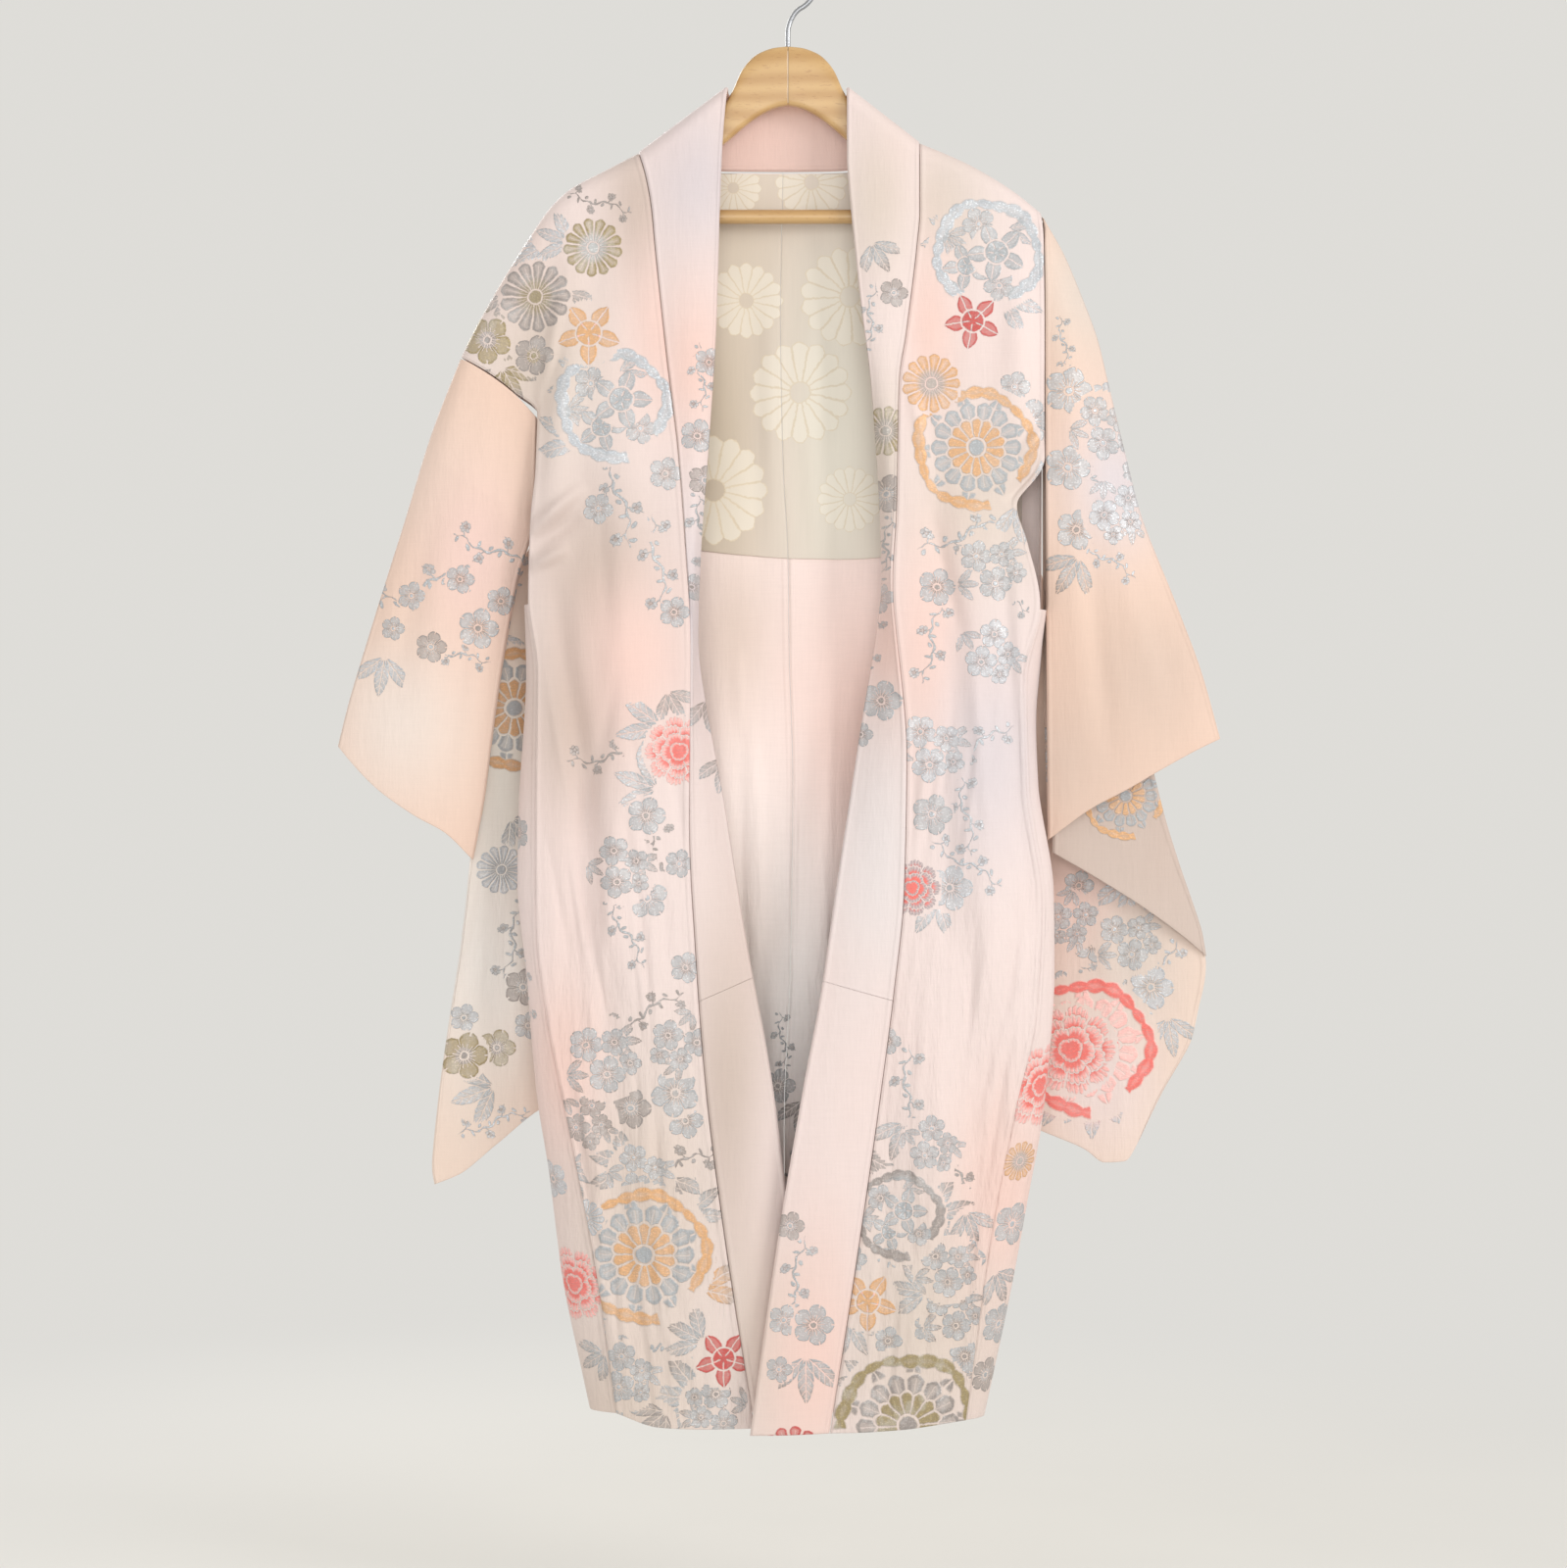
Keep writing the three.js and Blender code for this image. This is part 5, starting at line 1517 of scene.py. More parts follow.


# --- dyes, with painted shade and painted light

PINK, PEACH, GREIGE, BLUSH = (248, 230, 226), (248, 216, 197), (232, 217, 206), (252, 219, 209)
# PAINTED_SHADE is a darker greige, painted where the cloth lies in shade
LILAC, PAINTED_SHADE = (230, 219, 222), (217, 198, 187)
# the PAINTED_SHADE clouds are painted shade on the right front, below its shoulder and down its soft fold
# towards the side
FRONT_DYE_AND_PAINTED_SHADE = DyeAndPaintedShading(PINK, (
    (-118, 200, 30, 70, PAINTED_SHADE), (-195, 330, 60, 90, GREIGE), (-100, 300, 30, 70, BLUSH),
    (-150, 490, 50, 70, PAINTED_SHADE), (-172, 600, 40, 90, PAINTED_SHADE), (-120, 560, 40, 60, BLUSH),
    (-176, 780, 40, 70, PINK), (-110, 1000, 70, 130, GREIGE), (-178, 880, 30, 70, BLUSH),
    (-120, 1150, 80, 60, GREIGE), (120, 200, 40, 50, GREIGE), (170, 330, 60, 60, PINK),
    (112, 300, 22, 70, BLUSH), (150, 440, 60, 70, GREIGE), (110, 560, 30, 90, BLUSH),
    (160, 640, 40, 90, LILAC), (150, 850, 60, 90, PINK), (110, 1090, 80, 110, GREIGE),
    (170, 980, 40, 80, BLUSH)))
# the PAINTED_SHADE cloud is painted shade down the lower right band
COLLAR_DYE_AND_PAINTED_SHADE = DyeAndPaintedShading(PINK, (
    (-70, 180, 40, 60, LILAC), (-75, 330, 30, 60, BLUSH), (-70, 520, 30, 80, LILAC),
    (-46, 900, 34, 150, PAINTED_SHADE), (-20, 1100, 50, 90, GREIGE), (70, 200, 30, 60, GREIGE),
    (75, 400, 30, 70, GREIGE), (80, 560, 25, 60, BLUSH), (70, 720, 40, 110, (244, 234, 233)),
    (20, 960, 40, 90, PINK), (20, 1120, 40, 90, BLUSH)))
# painted shade on the wearer's right, where the collar band shadows the backs' inside, and painted light in
# the near-white cloud low in the middle, where the fronts shadow it
BACK_DYE_AND_PAINTED_SHADING = DyeAndPaintedShading((251, 234, 229), (
    (-45, 540, 40, 90, PAINTED_SHADE), (60, 620, 60, 140, BLUSH), (0, 860, 60, 160, (255, 250, 248)),
    (-60, 830, 40, 120, GREIGE), (-120, 300, 90, 120, BLUSH), (140, 800, 60, 160, GREIGE),
    (-150, 1000, 50, 120, BLUSH)))
SLEEVE_DYE = DyeAndPaintedShading(PEACH, (
    (-290, 420, 60, 70, (252, 226, 210)), (-310, 610, 60, 70, (250, 234, 224)),
    (-250, 480, 40, 70, BLUSH), (240, 260, 40, 70, GREIGE), (260, 420, 40, 60, LILAC),
    (290, 570, 60, 70, (228, 202, 186)), (230, 640, 50, 70, (232, 206, 190))))
# the two near-white clouds are painted light on the right bag, where the body and sleeve shadow it
BAG_DYE_AND_PAINTED_LIGHT = DyeAndPaintedShading((248, 224, 208), (
    (-230, 660, 40, 110, (255, 250, 240)), (-240, 800, 60, 110, (255, 248, 242)),
    (240, 760, 50, 60, BLUSH), (280, 800, 40, 60, GREIGE), (250, 900, 50, 60, PINK)))
# darker beige on the wearer's right half; the near-white cloud on the left half is painted light where it
# lies in shade
LINING_DYE_AND_PAINTED_LIGHT = DyeAndPaintedShading((243, 227, 213), (
    (-62, 380, 44, 200, (210, 192, 168)), (-50, 230, 50, 90, (232, 216, 196)),
    (44, 370, 44, 170, (255, 248, 232))))


def low_crimp(drop: Array, start: float = 560, fade: float = 380, least: float = 0.15) -> Array:
    """Crimping of the figured silk: least at the top, a smooth step to full near the hem."""
    share = np.clip((drop - start) / fade, 0, 1)
    return least + (1 - least) * share * share * (3 - 2 * share)


def slight_crimp(drop: Array, amount: float = 0.22) -> Array:
    """The same slight crimping all over."""
    return np.full_like(drop, amount)


# --- sub-assemblies


@dataclass
class Body:
    """The two fronts and the two backs, each hung from its shoulder fold."""

    front_cell: float = 2.3
    back_cell: float = 3.0
    inside_paler: float = 1.26       # painted light: the backs' dye on the wearer's side, as a share, paler where the fronts shadow it
    folds_front_right: Creases = creases(
        (-172, 190, -192, 520, 16, -9), (-138, 250, -118, 900, 24, -8),
        (-192, 470, -140, 760, 13, 8), (-176, 500, -120, 860, 11, -6),
        (-150, 540, -172, 860, 15, 5), (-100, 700, -92, 1175, 18, -5),
        (-150, 800, -118, 1190, 16, 5))
    fine_front_right: Creases = creases(
        (-207, 464, -160, 424, 5.5, -7), (-207, 490, -172, 474, 5, -5.5),
        (-205, 476, -164, 448, 7, 5), (-177, 255, -196, 360, 5, -3.6),
        (-196, 330, -203, 450, 4, -2.4), (-132, 560, -166, 720, 7, 2.7),
        (-128, 640, -152, 860, 6, -2.2), (-106, 920, -100, 1010, 4, 2.4),
        (-112, 760, -98, 900, 5, -1.8), (-168, 900, -150, 1080, 5, 2),
        (-96, 1040, -88, 1180, 4, -2.1), (-118, 1060, -106, 1180, 3.5, 1.8),
        (-136, 1010, -124, 1170, 4, -2), (-150, 420, -140, 560, 8, 2.2))
    folds_front_left: Creases = creases(
        (186, 200, 184, 430, 14, -7), (100, 300, 156, 760, 17, 8), (128, 420, 170, 900, 20, -8),
        (170, 420, 190, 760, 9, 5),
        (120, 760, 96, 1190, 18, -5), (166, 800, 124, 1190, 14, 4))
    fine_front_left: Creases = creases(
        (184, 402, 206, 376, 5, -5), (204, 404, 172, 440, 6, 5), (94, 318, 114, 440, 5, -3),
        (112, 440, 142, 560, 6, 2.7), (146, 560, 158, 700, 6, -2.4), (178, 470, 186, 620, 6, -3),
        (112, 1040, 108, 1120, 3.5, 2.2), (120, 900, 112, 1060, 5, -2), (84, 930, 70, 1090, 5, 2.1),
        (150, 860, 134, 1050, 5, 1.8), (100, 1060, 90, 1170, 4, -1.8), (76, 1060, 62, 1175, 4, 1.7),
        (128, 620, 124, 800, 7, 2.1))
    folds_back_right: Creases = creases(
        (-168, 200, -150, 700, 22, 7), (-26, 150, -20, 640, 11, 4), (-60, 240, -48, 900, 18, -5),
        (-110, 450, -96, 1190, 20, 6),
        (-160, 640, -130, 1190, 14, -4))
    fine_back_right: Creases = creases(
        (-196, 440, -150, 400, 6, 3), (-198, 470, -160, 452, 5, 2.4), (-84, 620, -72, 980, 7, 2.4),
        (-30, 560, -24, 860, 6, -2.1), (-128, 800, -112, 1150, 7, -2.2), (-52, 900, -40, 1160, 6, 2.1))
    folds_back_left: Creases = creases(
        (176, 200, 158, 640, 22, 7), (18, 160, 26, 600, 12, -4), (70, 260, 52, 1000, 20, 4),
        (120, 380, 104, 1190, 20, 6),
        (166, 700, 132, 1190, 14, -4))
    fine_back_left: Creases = creases(
        (196, 430, 156, 396, 6, 3), (194, 462, 160, 446, 5, 2.4), (88, 600, 76, 960, 7, 2.4),
        (36, 540, 28, 840, 6, -2.1), (132, 760, 118, 1120, 7, -2.2), (48, 880, 40, 1160, 6, 2))

    def front(self, shoulder: Array, hem: Array, seam: Array, side: Array, hang: Hang) -> Patch:
        """A front, from its shoulder fold down."""
        return Patch(Edge(at_depth(shoulder, -SHOULDER_DEPTH)), Edge(hem), Edge(seam), Edge(side),
                     hang, Edge(shoulder))

    def back(self, neck: Array, shoulder: Array, hem: Array, side: Array, hang: Hang) -> Patch:
        """A back, from its neck edge and shoulder fold down."""
        top = np.concatenate([neck, shoulder])
        return Patch(Edge(at_least(top, SHOULDER_DEPTH)), Edge(hem), Edge(CENTRE_BACK), Edge(side),
                     hang, Edge(top))

    def surfaces(self) -> dict[str, Patch]:
        """The four panels' surfaces by name."""
        def hang(broad: Creases, fine: Creases, seed: int, crimps: int,
                 between: tuple[float, float]) -> Hang:
            """How one panel hangs."""
            return Hang(broad, fine, ripple=0.7, seed=seed, crimps=crimps, between=between)

        return {
            "front_right": self.front(
                SHOULDER_RIGHT, HEM_FRONT_RIGHT, COLLAR_SEAM_RIGHT, FRONT_SIDE_RIGHT,
                hang(self.folds_front_right, self.fine_front_right, 3, 70, (-195, -60))),
            "front_left": self.front(
                SHOULDER_LEFT, HEM_FRONT_LEFT, COLLAR_SEAM_LEFT, FRONT_SIDE_LEFT,
                hang(self.folds_front_left, self.fine_front_left, 5, 70, (70, 195))),
            "back_right": self.back(
                NECK_RIGHT, SHOULDER_RIGHT, HEM_BACK_RIGHT, BACK_SIDE_RIGHT,
                hang(self.folds_back_right, self.fine_back_right, 7, 50, (-190, -8))),
            "back_left": self.back(
                NECK_LEFT, SHOULDER_LEFT, HEM_BACK_LEFT, BACK_SIDE_LEFT,
                hang(self.folds_back_left, self.fine_back_left, 9, 50, (8, 190))),
        }

    def build(self, wardrobe: Wardrobe) -> list[Object]:
        """Makes the four panels."""
        faces = self.surfaces()
        front, back = (Cut(cell, (0.15, 0.15, 0.0, 0.15), Rim.FLAT, shoulder=True)
                       for cell in (self.front_cell, self.back_cell))
        fronts = (("front_right", (0.20, 1.06), 0.125, FRONT_RIGHT_MOTIFS),
                  ("front_left", (0.14, 1.07), 0.115, FRONT_LEFT_MOTIFS))
        backs = (("back_right", (0.27, 1.03), 0.190, Strewn((-190, 220), (-15, 1150), 46, 21)),
                 ("back_left", (0.22, 1.03), 0.185, Strewn((15, 220), (190, 1150), 46, 22)))
        pieces = [ClothPiece(name, faces[name], flat, area, cut=front, figures=figures,
                             dye=FRONT_DYE_AND_PAINTED_SHADE, crepe=low_crimp)
                  for name, flat, area, figures in fronts]
        pieces += [ClothPiece(name, faces[name], flat, area, cut=back, figures=strewn.rows(),
                              inside=INSIDE_MOTIFS, paler=self.inside_paler, dye=BACK_DYE_AND_PAINTED_SHADING,
                              crepe=low_crimp)
                   for name, flat, area, strewn in backs]
        return [piece.build(wardrobe) for piece in pieces]


@dataclass
class Lining:
    """The satin lining of the upper back, inside the two backs."""

    rows_share: float = (11 / 24) ** 1.5     # of the backs' height, where its hem is
    columns_share: float = 11 / 12           # of the backs' width
    inside: float = CLOTH / 2 + LINING_ROOM + LINING / 2

    def build(self, body: Body, wardrobe: Wardrobe) -> list[Object]:
        """Makes the two halves on the backs' own surfaces, moved inwards."""
        made = []
        faces = body.surfaces()
        for side, inwards in (("right", 1), ("left", -1)):
            back = faces[f"back_{side}"]

            def half(u: Array, v: Array, back: Patch = back) -> Array:
                """The covered part of the back."""
                return back(u * self.columns_share, v * self.rows_share)

            cut = Cut(2.6, (0.15, 0.0, 0.6, 0.0), shoulder=True)
            made.append(ClothPiece(
                f"lining_{side}", half, (0.21, 0.34), 0.060, LINING, cut, LINING_MOTIFS, LINING_DYE_AND_PAINTED_LIGHT,
                slot="satin_lining", rests_on=[f"back_{side}"], lift=inwards * self.inside,
            ).build(wardrobe))
        return made


class Gussets:
    """The side gussets, from under the armholes to the hem."""

    def build(self, wardrobe: Wardrobe) -> list[Object]:
        """Makes both, with their figures laid round them."""
        sides = {
            "right": (FRONT_SIDE_RIGHT, BACK_SIDE_RIGHT, GUSSET_FOLD_RIGHT, motifs(
                (PEONY, CORAL, ROSE, (22, 1058, 30)),
                (PLUM, FROST, SILVER, (26, 975, 16)),
                (PLUM, SILVER, TAUPE, (20, 700, 14)),
                (SPRAY, SILVER, TAUPE, (14, 1118, 16, 30)),
                (TWIG, SILVER, TAUPE, (22, 820, 30, 90)))),
            "left": (FRONT_SIDE_LEFT, BACK_SIDE_LEFT, GUSSET_FOLD_LEFT, motifs(
                (PEONY, CORAL, ROSE, (20, 900, 34)),
                (CHRYSANTHEMUM, APRICOT, SILVER, (14, 960, 16)),
                (PLUM, SILVER, FROST, (18, 1010, 18), (20, 1090, 17)),
                (PLUM, TAUPE, SILVER, (14, 1130, 15)),
                (SPRAY, SILVER, TAUPE, (16, 1060, 18, 60)))),
        }
        cut = Cut(1.9)
        return [ClothPiece(f"gusset_{side}", GussetFace(*map(Edge, edges)), (0.06, 0.66), 0.034,
                           cut=cut, figures=figures, dye=FRONT_DYE_AND_PAINTED_SHADE, around=True, crepe=low_crimp,
                           rests_on=[f"front_{side}", f"back_{side}"]).build(wardrobe)
                for side, (*edges, figures) in sides.items()]


@dataclass
class Collar:
    """The collar band: two front bands, each joined across, and the part behind the neck."""

    joint: float = 0.665                     # share of a front band's length

    def build(self, wardrobe: Wardrobe) -> list[Object]:
        """Makes the five lengths."""
        parts = (("upper", 0.0, self.joint, Rim.FLAT, (0.090, 0.725), 0.030),
                 ("lower", self.joint, 1.0, Rim.FOLDED, (0.063, 0.363), 0.022))
        edges = {"right": (COLLAR_SEAM_RIGHT, COLLAR_FOLD_RIGHT, COLLAR_RIGHT_MOTIFS),
                 "left": (COLLAR_SEAM_LEFT, COLLAR_FOLD_LEFT, COLLAR_LEFT_MOTIFS)}
        made = []
        for side, (seam, free, figures) in edges.items():
            for part, first, last, bottom, size, area in parts:
                face = FrontBand(Edge(seam), Edge(free), first=first, last=last)
                room = (0.3, 0.0, 0.0 if part == "upper" else 0.15, 0.15)
                made.append(ClothPiece(
                    f"collar_{side}_{part}", face, size, area, BAND,
                    Cut(2.1, room, Rim.FLAT, bottom, part == "upper"), figures, COLLAR_DYE_AND_PAINTED_SHADE,
                    crepe=slight_crimp, rests_on=[f"front_{side}"]).build(wardrobe))
        back = BackBand(Edge(COLLAR_BACK_SEAM), Edge(COLLAR_BACK_FOLD))
        made.append(ClothPiece(
            "collar_back", back, (0.088, 0.246), 0.0114, BAND,
            Cut(2.1, (0.6, 0.15, 0.0, 0.0), Rim.FLAT, Rim.FLAT), (), DyeAndPaintedShading(BLUSH), crepe=slight_crimp,
            rests_on=["back_right", "back_left"]).build(wardrobe))
        return made


@dataclass
class Sleeves:
    """Both sleeves: the upper parts, and the parts that hang behind them."""

    cell: float = 2.5

    def layer(self, edges: tuple[Array, Array, Array, Array], hang: Hang, offset: float) -> Patch:
        """One layer between its top, bottom, inner and outer edges, moved off the fold lines."""
        top, bottom, inner, outer = (Edge(shifted(rows, offset)) for rows in edges)
        return Patch(top, bottom, inner, outer, hang)

    def build(self, wardrobe: Wardrobe) -> list[Object]:
        """Makes the nine pieces."""
        right, right_back = (
            (seam, SLEEVE_RIGHT_CUFF, fold, SLEEVE_RIGHT_OUTER) for seam, fold in (
                (SLEEVE_RIGHT_SEAM_FRONT, SLEEVE_RIGHT_FOLD_FRONT),
                (SLEEVE_RIGHT_SEAM_BACK, SLEEVE_RIGHT_FOLD_BACK)))
        left, left_back = (
            (SLEEVE_LEFT_TOP, SLEEVE_LEFT_CUFF, seam, SLEEVE_LEFT_OUTER)
            for seam in (SLEEVE_LEFT_SEAM_FRONT, SLEEVE_LEFT_SEAM_BACK))
        right_folds = creases((-214, 400, -262, 640, 14, -3), (-250, 380, -300, 640, 18, -3),
                              (-232, 430, -282, 700, 10, 2.5), (-280, 440, -330, 620, 12, 1.5))
        left_folds = creases((220, 280, 236, 640, 12, -4), (246, 360, 300, 620, 16, -3),
                             (230, 420, 262, 680, 9, 2.5), (262, 440, 316, 610, 9, 1.6))
        bag_right_folds = creases((-232, 620, -262, 940, 9, -1.2), (-212, 560, -236, 930, 9, 1.2))
        bag_left_folds = creases((250, 700, 272, 930, 9, -1.2), (288, 700, 306, 880, 9, 1.0))
        cut = Cut(self.cell)
        layers = (
            ("right_front", right, Hang(right_folds, belly=-10, ripple=0.5, seed=11), -LAYER,
             SLEEVE_RIGHT_MOTIFS, SLEEVE_DYE, (0.150, 0.360), 0.038),
            ("right_back", right_back, Hang(belly=7, ripple=0.4, seed=12), LAYER,
             Strewn((-340, 400), (-220, 680), 9, 31).rows(), SLEEVE_DYE, (0.150, 0.360), 0.037),
            ("right_bag_front", BAG_RIGHT, Hang(bag_right_folds, belly=-2, ripple=0.3, seed=13),
             -BAG_LAYER, BAG_RIGHT_MOTIFS, BAG_DYE_AND_PAINTED_LIGHT, (0.165, 0.480), 0.042),
            ("right_bag_back", BAG_RIGHT, Hang(belly=12, ripple=0.5, seed=14), BAG_LAYER,
             Strewn((-280, 500), (-150, 950), 16, 32).rows(), BAG_DYE_AND_PAINTED_LIGHT, (0.170, 0.480), 0.044),
            ("left_front", left, Hang(left_folds, belly=-9, ripple=0.5, seed=15), -LAYER,
             SLEEVE_LEFT_MOTIFS, SLEEVE_DYE, (0.165, 0.500), 0.038),
            ("left_back", left_back, Hang(belly=5, ripple=0.4, seed=16), LAYER,
             Strewn((215, 260), (330, 660), 10, 33).rows(), SLEEVE_DYE, (0.165, 0.500), 0.037),
            # the corner is painted shade all over
            ("left_corner", CORNER_LEFT, Hang(ripple=0.2, seed=17), 0.0,
             CORNER_LEFT_MOTIFS, DyeAndPaintedShading(PAINTED_SHADE), (0.150, 0.160), 0.0082),
            ("left_bag_front", BAG_LEFT, Hang(bag_left_folds, belly=-1, ripple=0.3, seed=18),
             -BAG_LAYER, BAG_LEFT_MOTIFS, BAG_DYE_AND_PAINTED_LIGHT, (0.230, 0.440), 0.053),
            ("left_bag_back", BAG_LEFT, Hang(belly=13, ripple=0.5, seed=19), BAG_LAYER,
             Strewn((165, 500), (320, 940), 18, 34).rows(), BAG_DYE_AND_PAINTED_LIGHT, (0.230, 0.440), 0.055))
        return [ClothPiece(f"sleeve_{name}", self.layer(edges, hang, offset), flat, area, cut=cut,
                           figures=figures, dye=dye, crepe=slight_crimp,
                           rests_on=["front_" + name.split("_")[0]]).build(wardrobe)
                for name, edges, hang, offset, figures, dye, flat, area in layers]


def round_angles(sides: int) -> Array:
    """Angles spaced evenly round a circle, as a row."""
    return np.linspace(0, 2 * np.pi, sides, endpoint=False)[None, :]


@dataclass
class Hanger:
    """The wooden hanger: two glued halves, the trouser bar and the wire hook."""

    depth: float = 12.0
    squareness: float = 0.45
    bar_radius: float = 5.7
    bar_drop: float = 207.0
    bar_half: float = 168.0
    joint: float = 0.15              # from the middle to each half's glued face
    rings: int = 90                  # along each half
    wire: float = 2.0                # radius
    bowl: float = 22.3               # radius of the hook, to the wire's middle
    arm: Array = field(default_factory=lambda: table(
        (0, 71, 118), (10, 72, 120), (24, 77, 127), (36, 89, 136), (44, 106, 143), (50, 116, 148),
        (72, 134, 164), (96, 151, 181), (119, 165, 195), (147, 179, 209), (172, 195, 220),
        (183, 205, 221), (189, 211, 219)))

    def skin(self, name: str, rings: Array, finish: Material,
             slot: str) -> Object:
        """A closed skin through rings of points, with a fan over each end.

        Args:
            name: of the CAD node it stands for.
            rings: points in metres, by ring and by place round it.
            finish: its material.
            slot: the record's material slot, not used.

        Returns:
            The object.
        """
        count, sides = rings.shape[:2]
        n = np.arange(count * sides).reshape(count, sides)
        after = np.roll(n, -1, axis=1)
        quads = np.stack([n[:-1], after[:-1], after[1:], n[1:]], -1).reshape(-1, 4)
        points = np.concatenate([rings.reshape(-1, 3), rings[[0, -1]].mean(axis=1)])
        caps = [np.stack([after[0], n[0], np.full(sides, len(points) - 2)], -1),
                np.stack([n[-1], after[-1], np.full(sides, len(points) - 1)], -1)]
        faces = quads.tolist() + caps[0].tolist() + caps[1].tolist()
        a, b, c = (points[quads[:, k]] for k in (0, 1, 2))
        if np.einsum("ij,ij->i", a, np.cross(b, c)).sum() < 0:
            faces = [face[::-1] for face in faces]
        mesh = new_mesh(f"{name}_form", points, faces)
        mesh.materials.append(finish)
        LOG.info("%s: %d faces", name, len(faces))
        return stand_for(name, mesh, slot)

    def half(self, side: int) -> Array:
        """Rings of one arm: a squared ellipse between its top and its underside.

        A sine or cosine keeps its sign and takes the power of the squareness. The last
        rings shrink as a quarter circle, so that the end is rounded.
        """
        rows = smooth_columns(self.arm, np.linspace(0, 1, self.rings))
        ease = np.array([0.90, 0.72, 0.42, 0.06])
        tip = np.repeat(rows[-1:], 4, axis=0)
        tip[:, 0] += np.array([0.3, 0.6, 0.8, 0.87])
        rows = np.concatenate([rows, tip])
        scale = np.concatenate([np.ones(self.rings), ease])[:, None]
        angle = round_angles(48)
        up, out = (np.sign(part) * np.abs(part) ** self.squareness
                   for part in (np.sin(angle), np.cos(angle)))
        top, under = rows[:, 1:2], rows[:, 2:3]
        z = -(top + under) / 2 + (under - top) / 2 * up * scale
        y = self.depth / 2 * out * scale
        x = side * np.maximum(rows[:, 0:1], self.joint) * np.ones_like(z)
        return np.stack([x, y, z], -1) * MM

    def rod(self) -> Array:
        """Rings of the bar: a circle carried along X, its ends a little rounded."""
        x = np.concatenate([[-1, -0.9985, -0.994], np.linspace(-0.98, 0.98, 40), [0.994, 0.9985, 1]])
        radius = self.bar_radius * np.concatenate([[0.6, 0.88, 1], np.ones(40), [1, 0.88, 0.6]])
        angle = round_angles(32)
        return np.stack([x[:, None] * self.bar_half * np.ones_like(angle),
                         radius[:, None] * np.cos(angle),
                         radius[:, None] * np.sin(angle) - self.bar_drop], -1) * MM

    def hook(self) -> Array:
        """Rings of the wire: a circle carried along its line.

        The line goes straight up out of the wood, through one bend, a cubic between the
        two directions, and then round the bowl, and its end is rounded.
        """
        start, end = math.radians(-62), math.radians(200)
        centre = -(self.bowl - self.wire)
        first = np.array([self.bowl * math.cos(start), centre + self.bowl * math.sin(start)])
        stem = np.column_stack([np.zeros(8), np.linspace(-74, -60, 8)])
        t = np.linspace(0, 1, 18)[1:-1, None]
        low, high = np.array([0, 22.0]), 20.0 * np.array([-math.sin(start), math.cos(start)])
        bend = ((2 * t**3 - 3 * t**2 + 1) * np.array([0, -60.0]) + (t**3 - 2 * t**2 + t) * low
                + (3 * t**2 - 2 * t**3) * first + (t**3 - t**2) * high)
        turn = np.linspace(start, end, 90)
        round_part = np.column_stack([self.bowl * np.cos(turn), centre + self.bowl * np.sin(turn)])
        line = np.concatenate([stem, bend, round_part])
        along = np.gradient(line, axis=0)
        along /= np.linalg.norm(along, axis=1, keepdims=True)
        side = np.column_stack([along[:, 1], -along[:, 0]])
        radius = np.full(len(line), self.wire)
        radius[-4:] *= np.array([0.97, 0.88, 0.70, 0.35])
        angle = round_angles(20)
        reach = radius[:, None] * np.cos(angle)
        return np.stack([line[:, :1] + side[:, :1] * reach,
                         radius[:, None] * np.sin(angle),
                         line[:, 1:] + side[:, 1:] * reach], -1) * MM

    def build(self) -> list[Object]:
        """Makes the four parts."""
        wood, steel = Beech().material("beech"), SteelWire().material("steel_wire")
        return [
            self.skin("hanger_arm_right", self.half(-1), wood, "beech"),
            self.skin("hanger_arm_left", self.half(1), wood, "beech"),
            self.skin("hanger_bar", self.rod(), wood, "beech"),
            self.skin("hanger_hook", self.hook(), steel, "steel_wire"),
        ]


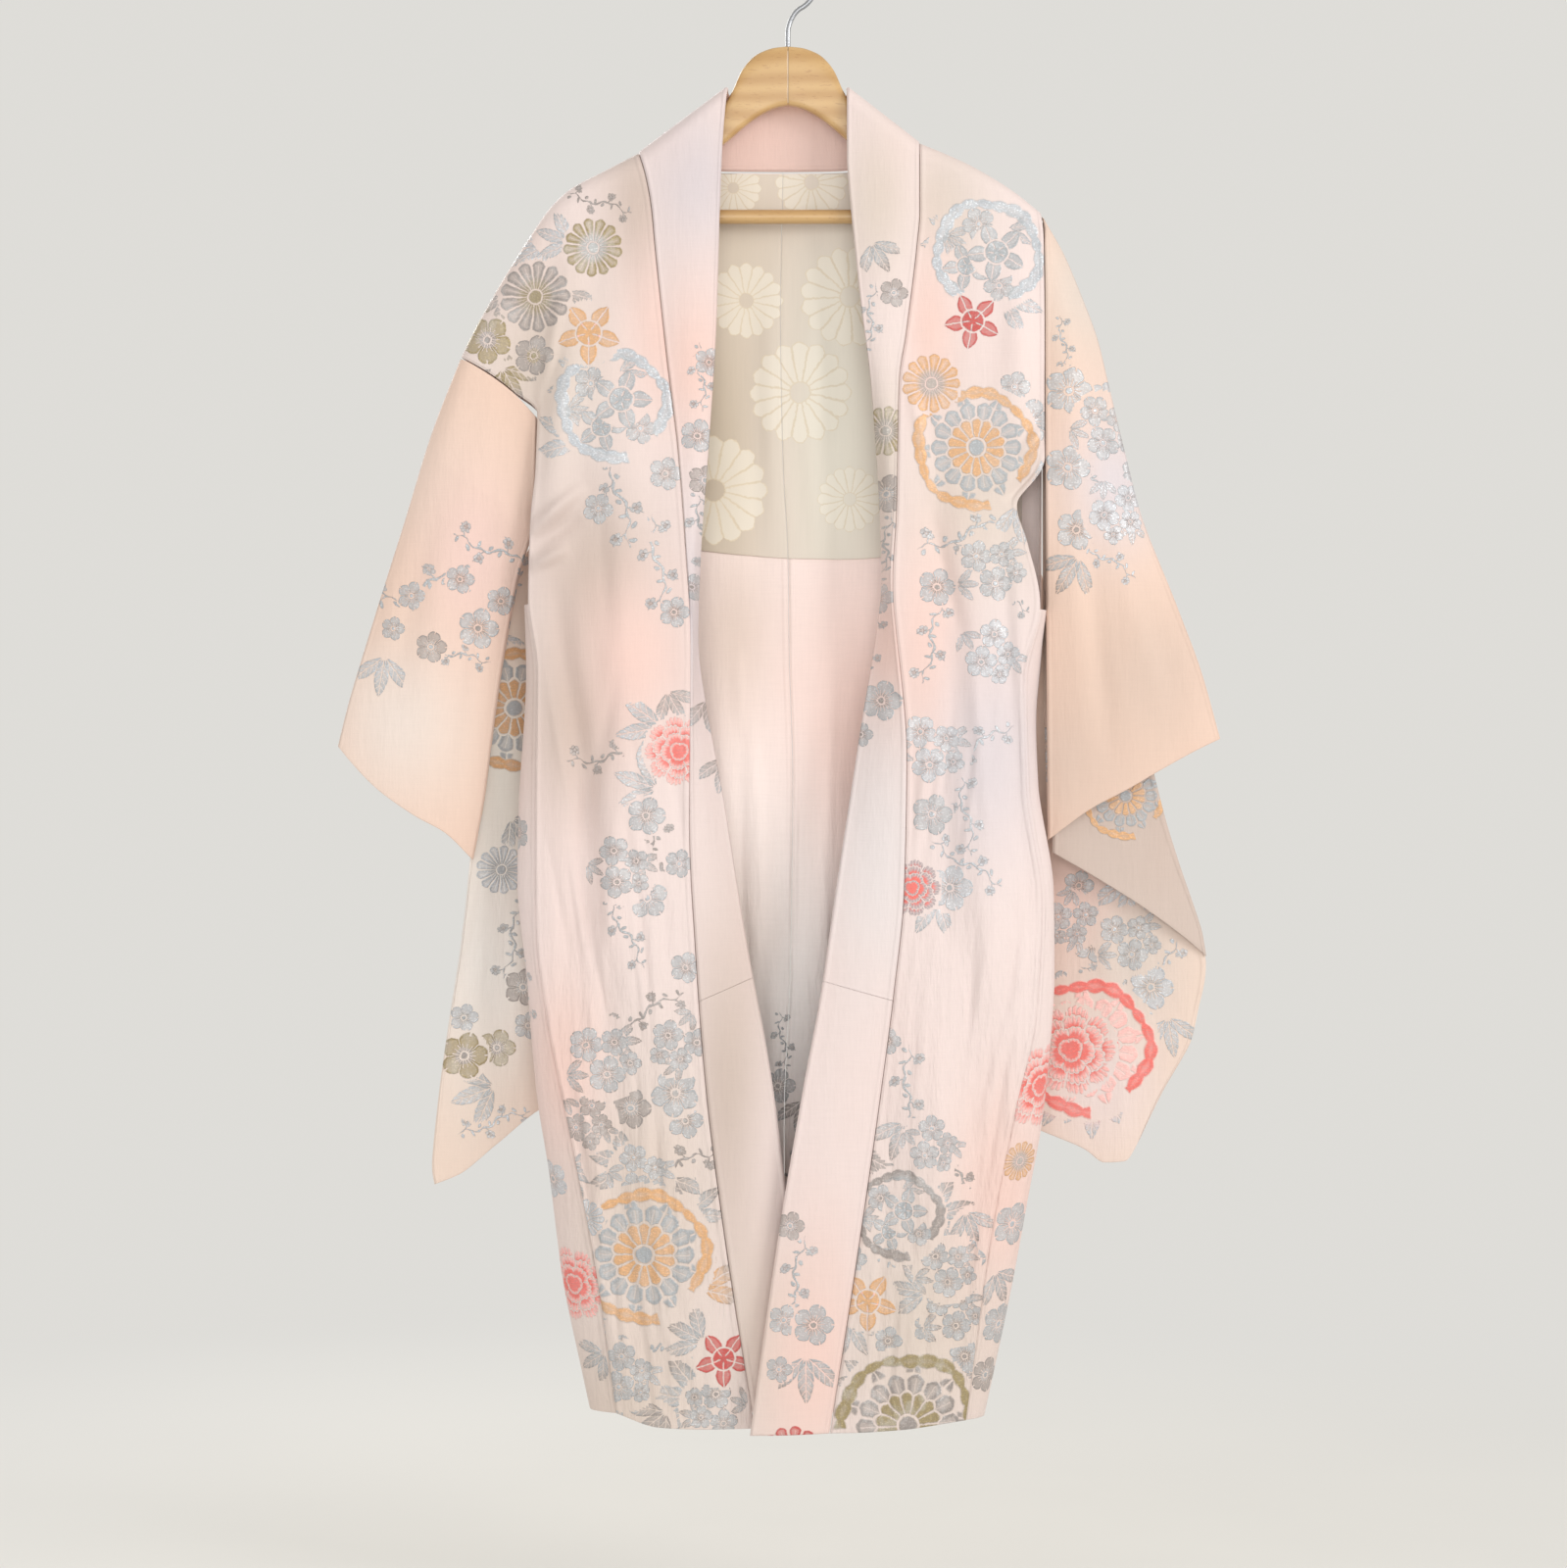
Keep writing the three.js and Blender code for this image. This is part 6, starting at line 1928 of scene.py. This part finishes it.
@dataclass
class Studio:
    """The floor, the lights, the pale surroundings and the camera."""

    floor_drop: float = 1.33
    floor_size: float = 400.0
    tone: Triple = (0.735, 0.722, 0.690)     # of the surroundings and the far floor
    lens: float = 75.0                       # mm, as is the sensor
    sensor: float = 36.0
    framed: float = 1.248                    # metres shown at the coat
    middle: Triple = (-0.0035, -0.015, -0.661)

    def floor(self) -> None:
        """A plain pale floor, which isn't part of the object.

        It takes the surroundings' own tone with distance, so that no edge shows.
        """
        bpy.ops.mesh.primitive_plane_add(size=self.floor_size, location=(0, 0, -self.floor_drop))
        plane = bpy.context.object
        plane.name = "floor"
        tree = Finish("floor_paint")
        mottle = tree.noise((3, 3, 3), 3.0)
        colour = tree.mix(mottle, (0.60, 0.59, 0.565, 1), (0.64, 0.63, 0.60, 1))
        paint = tree.surface(Base_Color=colour, Roughness=0.9)
        lit = tree.output.inputs["Surface"].links[0].from_socket
        far = tree.node("ShaderNodeEmission", {}, {"Color": (*self.tone, 1), "Strength": 1.0})
        x, y, _ = tree.parts(tree.place((1, 1, 1)))
        away = tree.smooth((x * x + y * y).root(), 0.25, 1.6)
        both = tree.node("ShaderNodeMixShader", {}, {0: away, 1: lit, 2: far.outputs[0]})
        tree.links.new(both.outputs[0], tree.output.inputs["Surface"])
        plane.data.materials.append(paint)

    def light(self, name: str, place: Triple, size: float, power: float, colour: Triple) -> None:
        """A soft square light that looks at the middle of the coat."""
        data = bpy.data.lights.new(name, "AREA")
        data.shape, data.size, data.energy, data.color = "SQUARE", size, power, colour
        lamp = bpy.data.objects.new(name, data)
        bpy.context.scene.collection.objects.link(lamp)
        lamp.location = place
        towards = np.array(self.middle) - np.array(place)
        lamp.rotation_euler = Vector(towards).to_track_quat("-Z", "Y").to_euler()

    def surroundings(self) -> None:
        """Pale, even light from all round."""
        world = bpy.data.worlds.new("pale_room")
        bpy.context.scene.world = world
        world.use_nodes = True
        back = world.node_tree.nodes["Background"]
        back.inputs["Color"].default_value = (*self.tone, 1)
        back.inputs["Strength"].default_value = 1.0
        bpy.context.scene.view_settings.view_transform = "Standard"

    def camera(self) -> None:
        """Looks straight at the coat's front, so that `framed` metres fill the frame."""
        data = bpy.data.cameras.new("camera")
        data.lens, data.sensor_width = self.lens, self.sensor
        camera = bpy.data.objects.new("camera", data)
        bpy.context.scene.collection.objects.link(camera)
        distance = self.lens / self.sensor * self.framed
        x, y, z = self.middle
        camera.location = (x, y - distance, z)
        camera.rotation_euler = (math.pi / 2, 0, 0)
        bpy.context.scene.camera = camera

    def build(self) -> None:
        """Sets up all of it."""
        self.floor()
        self.surroundings()
        self.light("key", (2.4, -1.7, 0.3), 1.4, 44.0, (1.0, 0.99, 0.97))
        self.light("front", (0.1, -3.3, -0.4), 2.2, 32.0, (1.0, 0.99, 0.98))
        self.light("fill", (-2.3, -1.9, -0.4), 2.0, 12.0, (0.99, 0.99, 1.0))
        self.light("back", (-1.2, 2.4, 0.4), 1.8, 50.0, (1.0, 0.99, 0.97))
        self.camera()


def main() -> None:
    """Builds and dresses the haori and its hanger, then the studio."""
    logging.basicConfig(level=logging.INFO, format="%(message)s")
    wardrobe = Wardrobe()
    body = Body()
    body.build(wardrobe)
    Lining().build(body, wardrobe)
    Gussets().build(wardrobe)
    Collar().build(wardrobe)
    Sleeves().build(wardrobe)
    Hanger().build()
    Studio().build()


if __name__ == "__main__":
    main()
